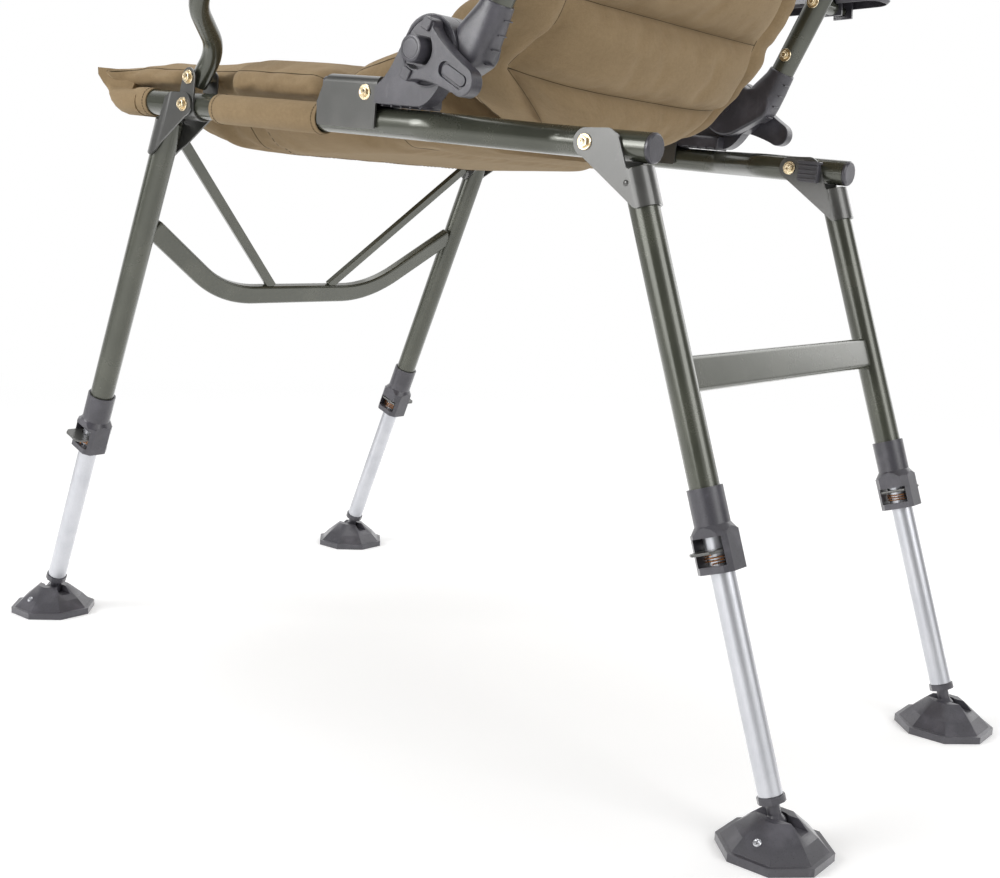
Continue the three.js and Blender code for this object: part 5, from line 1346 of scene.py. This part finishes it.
@dataclass
class Sleeves:
    """Cloth sleeves that hang the seat and the back on their tubes."""

    stance: Stance
    refit: Refit
    tubes: Tubes
    radius: float = 0.0140
    sheet: float = 0.0016
    nose_end: float = -0.503
    side_ends: tuple[float, float] = (-0.4030, -0.2535)
    side_drop: float = 0.0012
    top_arm: float = 0.16
    hem: float = 0.005
    hem_count: int = 30

    def build(self) -> None:
        """Builds and places them all."""
        half, bar, end = self.tubes.front_half, self.tubes.front_bar, self.nose_end
        nose = [(half, end), (half, bar), (-half, bar), (-half, end)]
        self.sleeve("front_sleeve", [self.stance.rail @ Vector((x, y, 0)) for x, y in nose], 0.037,
                    "seat_cushion", False)
        run = [self.stance.rail @ Vector((half, y, -self.side_drop)) for y in self.side_ends]
        self.sleeve("side_sleeve_left", run, 0.03, "seat_cushion", True)
        top = self.tubes.hoop_top
        foot = top - self.top_arm
        hoop = [(half, foot), (half, top), (-half, top), (-half, foot)]
        self.sleeve("top_sleeve", [self.stance.back @ Vector((x, self.tubes.hoop_behind, z)) for x, z in hoop],
                    0.071, "backrest_cushion", False)

    def sleeve(self, name: str, corners: Sequence[Point], bend: float, node: str, paired: bool) -> None:
        """Sewn sleeve round a tube, with a hem of stitches at each end."""
        shell = bent_tube(name, corners, self.radius, bend, self.sheet, 40)
        Bench.round_edges(shell, 0.0006, 3, 60, 70)
        stitches = self.stitches(f"{name}_stitches", corners)
        for piece, finish in ((shell, self.refit.finishes.sleeve), (stitches, self.refit.finishes.seam)):
            self.refit.sew(piece, node, finish)
            if paired:
                self.refit.sew(Bench.mirror(piece, piece.name.replace("left", "right")), node, finish)

    def stitches(self, name: str, corners: Sequence[Point]) -> bpy.types.Object:
        """A ring of short stitches near each end of a sleeve."""
        runs = []
        for end, following in ((corners[0], corners[1]), (corners[-1], corners[-2])):
            ahead = (Vector(following) - Vector(end)).normalized()
            side = ahead.orthogonal().normalized()
            turn = Matrix.Rotation(2 * math.pi / self.hem_count, 3, ahead)
            middle = Vector(end) + ahead * self.hem
            for _ in range(self.hem_count):
                start = middle + side * (self.radius + 0.0001)
                side = turn @ side
                mid = middle + (side + turn.inverted() @ side).normalized() * (self.radius + 0.0004)
                runs.append((start, mid, start.lerp(middle + side * (self.radius + 0.0001), 0.7)))
        return thread(name, runs, 0.00025, 1)


@dataclass
class Pads:
    """The padded seat and back: a sewn envelope each, blown up with its seams held.

    The tongue is half the width and the height of the seat's rear end. The sag is the depth of the middle below
    the rails at its deepest, at the rear and at the front. Each level of the nose has its height, its side and
    the control point and tip of its corner.
    """

    stance: Stance
    finishes: Finishes
    refit: Refit
    cell: float = 0.0065
    pressure: float = 3.0
    cap: float = 0.005
    frames: int = 20
    seam_radius: float = 0.0007
    stitch: float = 0.0004
    seat_front: float = 0.590
    seat_rear: float = 0.150
    seat_seam: float = 0.262
    under_steps: int = 36
    wall_steps: int = 8
    under_seams: tuple[float, float, float] = (0.430, 0.400, 0.222)
    rail_top: float = 0.0145
    welt_drop: float = 0.007
    tongue: tuple[float, float] = (0.158, 0.013)
    sag_depth: tuple[float, float, float] = (-0.035, -0.015, -0.013)
    nose_start: tuple[float, float] = (-0.5480, -0.5200)
    nose_levels: tuple = (
        (0.0300, 0.2350, (0.2400, -0.5650), (0.2550, -0.5905)),
        (0.0230, 0.2385, (0.2420, -0.5660), (0.2540, -0.5910)),
        (0.0150, 0.2400, (0.2440, -0.5700), (0.2478, -0.5905)),
        (0.0115, 0.2420, (0.2450, -0.5710), (0.2448, -0.5895)),
        (0.0085, 0.2545, (0.2540, -0.5730), (0.2432, -0.5880)),
        (0.0040, 0.2580, (0.2585, -0.5740), (0.2418, -0.5858)),
        (-0.0020, 0.2588, (0.2590, -0.5735), (0.2392, -0.5825)),
        (-0.0080, 0.2570, (0.2570, -0.5700), (0.2350, -0.5775)),
        (-0.0124, 0.2525, (0.2525, -0.5660), (0.2310, -0.5720)),
        (-0.0150, 0.2450, (0.2450, -0.5600), (0.2280, -0.5640)))
    back_top: float = 0.639
    pitch: float = 0.075
    channels: int = 8
    fine: int = 12
    roll: float = 0.056
    roll_seam: float = 0.004
    inside: float = 0.05915
    puff: float = 0.021
    inner: int = 44
    border: int = 9

    def build(self) -> None:
        """Builds both pads and their seam threads, whose dark colour is painted shade of the seams."""
        self.seat()
        self.nose()
        self.back()

    def seat_ring(self, y: float) -> list[Vector]:
        """Ring of points round the seat at one place along the rails, from the middle below."""
        ahead = self.roll + 0.1192
        bracket = 1 - ease(abs(y + 0.434), 0.0215, 0.048)
        hinge = ease(y, -0.279, -0.251)
        tail = ease(y, -ahead - 0.020, -self.seat_rear)
        nose = 1 - ease(y, -self.seat_front, -self.seat_front + 0.07)
        step = ease(y, -self.seat_seam, -self.seat_seam + 0.022)
        rise = ease(y, -self.seat_seam + 0.004, -0.185)
        dip = math.exp(-((y + self.seat_seam) / 0.010) ** 2)
        fore = 1 - ease(y, -0.500, -0.400)
        half = mixed(mixed(0.237, 0.2185, max(bracket, hinge)), self.tongue[0], tail)
        top = mixed(0.0437 - 0.003 * fore - 0.0075 * nose - 0.007 * dip + 0.0065 * step + 0.0155 * rise,
                    self.tongue[1], tail)
        welt = top - self.welt_drop
        crown = mixed(0.008, 0.018, step) * (1 - 0.8 * fore) * (1 - nose) * (1 - tail)
        foot = self.rail_top * (1 - tail)
        deep, rear, front = self.sag_depth
        sag = mixed(deep, rear, min(max((y + 0.430) / 0.255, 0), 1))
        sag = mixed(sag, front, min(max(-y - 0.440, 0) / 0.100, 1) ** 1.7)
        sag = mixed(sag, foot, ease(-y, 0.5330, 0.5400))
        edge = min(half, 0.2315) - 0.0016
        shares = [i / self.under_steps for i in range(self.under_steps + 1)]
        below = [(t * edge, mixed(sag, foot, ease(t, 0.72, 1))) for t in shares]
        flare = 0.019 * (1 - ease(y, -self.seat_front, -self.seat_front + 0.048))
        wall = [(half + 0.0045 * math.sin(math.pi * t) + flare * t * t, mixed(foot, welt, t))
                for t in (i / self.wall_steps for i in range(1, self.wall_steps))]
        seam = half - 0.002 + flare
        above = []
        for t in shares:
            x = seam * (1 - t)
            inward = min((seam - x) / 0.030, 1)
            fillet = (self.welt_drop - 0.003 * fore) * math.sqrt(1 - (1 - inward) ** 2)
            above.append((x, welt + fillet + crown * (1 - (x / seam) ** 2)))
        lean = 0.35 * nose
        ring = [Vector((x, y + lean * (mixed(0.030, 0, z / 0.045) if z < 0.045 else 0), z))
                for x, z in below + wall + above]
        ring += [Vector((-point.x, point.y, point.z)) for point in reversed(ring[1:-1])]
        return ring

    def seat(self) -> None:
        """Seat pad: a front cushion and a raised rear one, welted along the top of each side."""
        steps = round((self.seat_front - self.seat_rear) / self.cell)
        rows = [-self.seat_front + (self.seat_front - self.seat_rear) * i / steps for i in range(steps + 1)]
        nearest = min(range(len(rows)), key=lambda i: abs(rows[i] + self.seat_seam))
        rows[nearest] = -self.seat_seam
        rings = [[self.stance.rail @ point for point in self.seat_ring(y)] for y in rows]
        count = len(rings[0])
        corner = self.under_steps
        welt = corner + self.wall_steps
        under = [min(range(len(rows)), key=lambda i: abs(rows[i] + place)) for place in self.under_seams]
        held = set()
        for j in range(len(rows)):
            held |= {(j, welt), (j, count - welt), (j, corner), (j, count - corner)}
        for i in range(count):
            held |= {(0, i), (len(rows) - 1, i)}
            if welt <= i <= count - welt:
                held.add((nearest, i))
            if i <= corner or i >= count - corner:
                held |= {(row, i) for row in under[::2]}
        pad = self.loft("seat_pad", rings, held)
        number = [[j * count + i for i in range(count)] for j in range(len(rows))]
        self.blow_up(pad)
        self.tuck(pad)
        welts = [[number[j][i] for j in range(len(rows) - 3)] for i in (welt, count - welt)]
        joins = [[number[nearest][i] for i in range(welt, count - welt + 1)]]
        across = list(range(count - corner, count)) + list(range(corner + 1))
        joins += [[number[row][i] for i in across] for row in under[::2]]
        self.close(pad, "seat_cushion", 0.7)
        # Dark threads along the welts and joins: painted shade of the seam creases.
        self.lines("seat_seam_shade_threads", pad, welts + joins, "seat_cushion")
        self.dashes("seat_stitches", pad, [number[under[1]][i] for i in across], "seat_cushion")

    def nose(self) -> None:
        """Cloth drawn from the seat's front edge down round the front bar, with its two corners."""
        rings = []
        for z, side, control, tip in self.nose_levels:
            half = Outline().to((side, self.nose_start[z < 0.01])).curve(control, tip, 12).points
            rings.append([(x, y, z) for x, y in half] + [(-x, y, z) for x, y in reversed(half)])
        piece = drawn("seat_nose", rings, self.stance.rail, 50)
        self.refit.sew(piece, "seat_cushion", self.finishes.sleeve)

    def back_ring(self, z: float, phase: float) -> list[Vector]:
        """Ring of points round the back pad at one height, from its left edge over the front."""
        reach = math.sqrt(max(self.roll ** 2 - z * z, 0))
        above = z - 0.580
        corner = self.inside - math.sqrt(max(self.inside ** 2 - above ** 2, 0)) if above > 0 else 0
        wide = mixed(0.2115, 0.2308, ease(z, 0.075, 0.225))
        half = wide * (1 - 0.5 * (max(-z, 0) / self.roll) ** 2.2) - corner
        seam = mixed(0.181, 0.1625, ease(z, 0.0, 0.06))
        if z < 0.004:
            seam = mixed(0.181, 0.085, min((0.004 - z) / 0.050, 1))
        seam = min(seam, half - 0.018)
        swell = abs(math.sin(math.pi * phase)) ** 0.5
        lift = min(1.0, max(z + self.roll, 0) / 0.02)
        fall = ease(self.back_top - z, 0, 0.03)
        low = -(reach if z < 0 else max(reach, 0.012)) + 0.004
        high = (reach if z < 0 else mixed(self.roll, 0.046, ease(z, 0, 0.0375))) - 0.010
        high -= 0.004 * math.exp(-((z - 0.004) / 0.007) ** 2)
        side = mixed(low, high, 0.55)
        pinch = mixed(mixed(low, high, 0.72), high, 0.75 * ease(z, 0.0, 0.06))
        front, rear = [], []
        for x in self.columns(half, seam):
            share = min(abs(x) / seam, 1)
            field = (1 - share ** 5) ** 0.5
            strip, back = 0.0, mixed(high, pinch, share ** 4)
            if abs(x) > seam:
                out = min((abs(x) - seam) / (half - seam), 1)
                strip = math.sqrt(max(math.sin(math.pi * out ** 0.8), 0))
                back = mixed(pinch, side, out * out)
            edge = ease(half - abs(x), 0, 0.022)
            crease = 0.0011 * math.sin(z * 300 + abs(x) * 70) * strip * fall
            puff = (swell * field * self.puff + strip * (0.005 + 0.005 * swell)) * lift * fall
            rear.append(Vector((x, back + puff + crease, z)))
            front.append(Vector((x, mixed(side, low, math.sqrt(edge)) - puff * 0.5, z)))
        return front + list(reversed(rear[1:-1]))

    def columns(self, half: float, seam: float) -> list[float]:
        """Places across the pad, with one on each border seam."""
        right = [seam * (2 * i / self.inner - 1) for i in range(self.inner + 1)]
        strip = [seam + (half - seam) * math.sin(math.pi / 2 * i / self.border)
                 for i in range(1, self.border + 1)]
        return [-x for x in reversed(strip)] + right + strip

    def back(self) -> None:
        """Back pad: channels across both faces inside a border strip, and a roll at the foot."""
        heights, phases = [], []
        for angle in range(84, 4, -7):
            heights.append(-self.roll * math.sin(math.radians(angle)))
            phases.append(0.5 + 0.5 * (1 - angle / 84) * 0.98 if angle < 60 else 0.5)
        first_row = len(heights)
        for i in range(self.channels * self.fine + 1):
            heights.append(self.roll_seam + self.pitch * i / self.fine)
            phases.append(i / self.fine)
        last = heights[-1]
        rest = round((self.back_top - last) / 0.006)
        for i in range(1, rest + 1):
            heights.append(last + (self.back_top - last) * i / rest)
            phases.append(0.5 * i / rest)
        rings = [[self.stance.back @ point for point in self.back_ring(z, phase)]
                 for z, phase in zip(heights, phases)]
        count = len(rings[0])
        first, last_column = self.border, self.border + self.inner
        wide = last_column + self.border
        rows = [j for j, phase in enumerate(phases) if j >= first_row and abs(phase - round(phase)) < 1e-6]
        mirror = {i: count - i for i in range(1, wide)}
        held = set()
        for j in range(len(rings)):
            held |= {(j, 0), (j, wide)}
            held |= {(j, i) for i in (first, last_column, mirror[first], mirror[last_column])}
        for i in range(count):
            held |= {(0, i), (len(rings) - 1, i)}
        for j in rows:
            held |= {(j, i) for i in range(first, last_column + 1)}
            held |= {(j, mirror[i]) for i in range(first, last_column + 1)}
        pad = self.loft("back_pad", rings, held)
        number = [[j * count + i for i in range(count)] for j in range(len(rings))]
        self.blow_up(pad)
        across = [[number[j][i] for i in range(first, last_column + 1)] for j in rows]
        across += [[number[j][mirror[i]] for i in range(first, last_column + 1)] for j in rows]
        upward = [[number[j][i] for j in range(4, len(rings) - 2)]
                  for i in (first, last_column, mirror[first], mirror[last_column], 0, wide)]
        self.close(pad, "backrest_cushion", 0.8)
        # Dark threads in the channel and border seams: painted shade of the seam creases.
        self.lines("back_seam_shade_threads", pad, across + upward, "backrest_cushion")

    def lines(self, name: str, pad: bpy.types.Object, runs: Sequence[Sequence[int]], node: str) -> None:
        """Dark thread in the seams of a pad, along runs of its points; its dark colour is painted shade of the
        seam creases.
        """
        points, radius = pad.data.vertices, self.seam_radius
        places = [[points[i].co - points[i].normal * radius * 0.4 for i in run] for run in runs]
        self.refit.sew(thread(name, places, radius, 1), node, self.finishes.seam)

    def dashes(self, name: str, pad: bpy.types.Object, run: Sequence[int], node: str) -> None:
        """A row of short stitches that lies on the cloth."""
        points = pad.data.vertices
        places = []
        for first, second in zip(run, run[1:]):
            start, end = points[first], points[second]
            places.append((start.co + start.normal * 0.0002, start.co.lerp(end.co, 0.55) + end.normal * 0.0002))
        self.refit.sew(thread(name, places, self.stitch, 1), node, self.finishes.seam)

    def tuck(self, pad: bpy.types.Object) -> None:
        """Keeps the seat clear of the rails, clips and brackets that it rests on."""
        to_rail = self.stance.rail.inverted()
        for vertex in pad.data.vertices:
            place = to_rail @ vertex.co
            if abs(place.x) > 0.225 and place.y > -0.53:
                place.z = max(place.z, self.rail_top + 0.0005)
            vertex.co = self.stance.rail @ place

    def loft(self, name: str, rings: Sequence[Sequence[Vector]],
             held: set[tuple[int, int]]) -> bpy.types.Object:
        """Closed envelope through rings, with a UV map in metres and a group for its seams.

        Args:
            name: Name of the piece.
            rings: Rings of points, all of the same count.
            held: Ring and point numbers of the vertices that a seam holds.

        Returns:
            The mesh object.
        """
        count = len(rings[0])
        mesh = bmesh.new()
        grid = [[mesh.verts.new(point) for point in ring] for ring in rings]
        across = [0.0]
        middle = rings[len(rings) // 2]
        for i in range(count):
            across.append(across[-1] + (middle[(i + 1) % count] - middle[i]).length)
        along = [0.0]
        for low, high in zip(rings, rings[1:]):
            along.append(along[-1] + (high[0] - low[0]).length)
        layer = mesh.loops.layers.uv.new("cloth")
        for j in range(len(rings) - 1):
            for i in range(count):
                k = (i + 1) % count
                face = mesh.faces.new((grid[j][i], grid[j][k], grid[j + 1][k], grid[j + 1][i]))
                corners = ((i, j), (i + 1, j), (i + 1, j + 1), (i, j + 1))
                for loop, (u, v) in zip(face.loops, corners):
                    loop[layer].uv = (across[u], along[v])
        for row in (grid[0], grid[-1]):
            self.cap_end(mesh, row, layer)
        bmesh.ops.recalc_face_normals(mesh, faces=mesh.faces)
        mesh.verts.index_update()
        crease = mesh.edges.layers.float.new("crease_edge")
        sewn = {grid[j][i] for j, i in held if 0 < j < len(rings) - 1}
        for edge in mesh.edges:
            if edge.verts[0] in sewn and edge.verts[1] in sewn:
                edge[crease] = 0.7
        numbers = [grid[j][i].index for j, i in held]
        data = bpy.data.meshes.new(name)
        mesh.to_mesh(data)
        mesh.free()
        piece = bpy.data.objects.new(name, data)
        bpy.context.scene.collection.objects.link(piece)
        piece.vertex_groups.new(name="seams").add(numbers, 1, "REPLACE")
        return piece

    @staticmethod
    def cap_end(mesh: bmesh.types.BMesh, row: list, layer: bmesh.types.BMLayerItem) -> None:
        """Closes an end ring with a strip of quads between its two faces."""
        count = len(row)
        half = count // 2
        for i in range(half):
            corners = [row[i], row[(i + 1) % count], row[(count - 1 - i) % count], row[(count - i) % count]]
            unique = list(dict.fromkeys(corners))
            if len(unique) > 2:
                face = mesh.faces.new(unique)
                for loop in face.loops:
                    loop[layer].uv = (loop.vert.co.x, loop.vert.co.y)

    def blow_up(self, piece: bpy.types.Object) -> None:
        """Inflates the envelope with its seams held, and caps how far each point moves."""
        rest = [vertex.co.copy() for vertex in piece.data.vertices]
        for vertex in piece.data.vertices:
            vertex.co += vertex.normal * 0.0006 * noise.noise(vertex.co * 60)
        Bench.grasp(piece)
        cloth = piece.modifiers.new("Cloth", "CLOTH")
        settings = cloth.settings
        settings.quality = 4
        settings.mass = 0.25
        settings.tension_stiffness = settings.compression_stiffness = 12
        settings.bending_stiffness = 0.4
        settings.use_pressure = True
        settings.uniform_pressure_force = self.pressure
        settings.vertex_group_mass = "seams"
        settings.shrink_min = -0.010
        settings.effector_weights.gravity = 0
        cloth.collision_settings.use_collision = False
        for frame in range(1, self.frames + 1):
            bpy.context.scene.frame_set(frame)
        bpy.ops.object.modifier_apply(modifier=cloth.name)
        bpy.context.scene.frame_set(1)
        for vertex, start in zip(piece.data.vertices, rest):
            move = vertex.co - start
            if move.length > self.cap:
                vertex.co = start + move.normalized() * self.cap

    def close(self, piece: bpy.types.Object, node: str, fill: float) -> None:
        """Finishes a pad: one subdivision, smooth shading, cloth, body and declaration."""
        Bench.modify(piece, "SUBSURF", levels=1, render_levels=1)
        bpy.ops.object.shade_smooth()
        self.refit.settle(piece, node, Slot.CLOTH)


@dataclass
class Studio:
    """Pale floor, soft lamps and the camera at the photograph's angle."""

    eye: tuple[float, float, float] = (1.083, 0.8772, 0.4852)
    azimuth: float = math.radians(128.62)
    elevation: float = math.radians(9.74)
    roll: float = math.radians(2.89)
    lens: float = 47.14
    sensor: float = 36.0
    clip_start: float = 0.01
    floor_radius: float = 9
    floor_fade: tuple[float, float] = (0.9, 2.4)
    floor_white: float = 0.9
    floor_lift: float = 0.2
    floor_glow: float = 0.45
    floor_shine: float = 0.8
    even: float = 0.5
    dark_wall: float = 0.2
    lights: tuple = (("beside", (2.7, -1.3, 1.7), 1.7, 58), ("behind", (0.3, 3.0, 1.7), 1.7, 30),
                     ("overhead", (-0.6, -0.4, 3.0), 2.4, 26), ("far", (-2.6, 0.6, 1.4), 2.0, 16))
    panels: tuple = (((0.1, 1.0, 0.15), 0.80, 0.92, 1.1), ((0.94, -0.34, 0.06), 0.91, 0.955, 5.0),
                     ((-0.8, -0.6, 0.0), 0.05, 0.55, 1.0), ((0.0, 0.0, 1.0), 0.75, 0.95, 0.7))

    def build(self) -> None:
        """Builds the set."""
        self.camera()
        self.floor()
        self.lamps()
        self.sky()
        bpy.context.scene.view_settings.view_transform = "Standard"

    def camera(self) -> None:
        """Adds the camera."""
        ahead = Vector((-math.sin(self.azimuth) * math.cos(self.elevation),
                        math.cos(self.azimuth) * math.cos(self.elevation), -math.sin(self.elevation)))
        level = ahead.cross(Vector((0, 0, 1))).normalized()
        above = level.cross(ahead)
        right = level * math.cos(self.roll) + above * math.sin(self.roll)
        up = above * math.cos(self.roll) - level * math.sin(self.roll)
        data = bpy.data.cameras.new("camera")
        data.lens = self.lens
        data.sensor_width = self.sensor
        data.sensor_fit = "HORIZONTAL"
        data.clip_start = self.clip_start
        camera = bpy.data.objects.new("camera", data)
        turn = Matrix((right, up, -ahead)).transposed().to_4x4()
        camera.matrix_world = Matrix.Translation(self.eye) @ turn
        bpy.context.scene.collection.objects.link(camera)
        bpy.context.scene.camera = camera

    def floor(self) -> None:
        """Adds a wide pale floor that fades into the white surround."""
        floor = Bench.start("floor", "circle", vertices=96, radius=self.floor_radius, fill_type="NGON")
        bpy.ops.object.mode_set(mode="OBJECT")
        board = Board("floor_paint")
        place = board.place((1, 1, 0))
        reach = board.add("ShaderNodeVectorMath", {"operation": "LENGTH"}, {0: place}, "Value")
        far = reach.between(*self.floor_fade)
        ray = board.add("ShaderNodeLightPath", {}, {}, "Is Camera Ray")
        plain = board.add("ShaderNodeBsdfDiffuse", {}, {"Color": (*[self.floor_white] * 3, 1)})
        gloss = board.add("ShaderNodeLightPath", {}, {}, "Is Glossy Ray")
        lift = board.add("ShaderNodeEmission", {}, {
            "Color": (1, 1, 1, 1), "Strength": ray * self.floor_lift + gloss * self.floor_shine})
        near = board.add("ShaderNodeAddShader", {}, {0: plain, 1: lift})
        glow = ray * (1 - self.floor_glow) + gloss * self.floor_shine * 0.6 + self.floor_glow
        white = board.add("ShaderNodeEmission", {}, {"Color": (1, 1, 1, 1), "Strength": glow})
        board.add_output(board.add("ShaderNodeMixShader", {}, {0: far, 1: near, 2: white}))
        floor.data.materials.append(board.material)

    def lamps(self) -> None:
        """Adds large soft lamps: beside the chair, behind it and overhead."""
        for name, place, size, power in self.lights:
            data = bpy.data.lights.new(name, "AREA")
            data.shape = "DISK"
            data.size = size
            data.energy = power
            lamp = bpy.data.objects.new(name, data)
            lamp.location = place
            aim = Vector((0, 0, 0.45)) - Vector(place)
            lamp.rotation_euler = aim.to_track_quat("-Z", "Y").to_euler()
            bpy.context.scene.collection.objects.link(lamp)

    def sky(self) -> None:
        """Sets a studio round the chair: white walls, bright panels and dark gaps between them."""
        world = bpy.data.worlds.new("surround")
        bpy.context.scene.world = world
        board = Board("surround", world)
        heading = board.add("ShaderNodeTexCoord", {}, {}, "Generated")
        room = board.add("ShaderNodeValue", {}, {})
        room.socket.default_value = self.dark_wall
        for towards, low, high, strength in self.panels:
            facing = board.add("ShaderNodeVectorMath", {"operation": "DOT_PRODUCT"},
                               {0: heading, 1: Vector(towards).normalized()}, "Value")
            room = room + facing.between(low, high) * strength
        seen = board.add("ShaderNodeLightPath", {}, {}, "Is Camera Ray")
        gloss = board.add("ShaderNodeLightPath", {}, {}, "Is Glossy Ray")
        level = board.add("ShaderNodeMix", {"data_type": "FLOAT"}, {0: gloss, 2: self.even, 3: room}, 0)
        level = board.add("ShaderNodeMix", {"data_type": "FLOAT"}, {0: seen, 2: level, 3: 1.0}, 0)
        shade = board.add("ShaderNodeBackground", {}, {"Color": (1, 1, 1, 1), "Strength": level})
        board.add_output(shade, "World")


def main() -> None:
    """Builds the chair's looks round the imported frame."""
    logging.basicConfig(level=logging.INFO, format="%(message)s")
    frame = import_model()
    Bench.clear()
    stance = Stance(frame)
    Studio().build()
    finishes = Finishes()
    refit = Refit(stance, finishes)
    tubes = Tubes(stance, refit)
    for assembly in (tubes, Plates(stance, refit, tubes), Hinges(stance, refit, tubes),
                     Fasteners(stance, refit, tubes), Feet(stance, refit), Sleeves(stance, refit, tubes),
                     Pads(stance, finishes, refit)):
        assembly.build()
        log.info("built %s", type(assembly).__name__.lower())
    for node in sorted(frame["nodes"]):
        if node not in refit.done:
            refit.copy(node)
            log.info("refined %s", node)


if __name__ == "__main__":
    main()
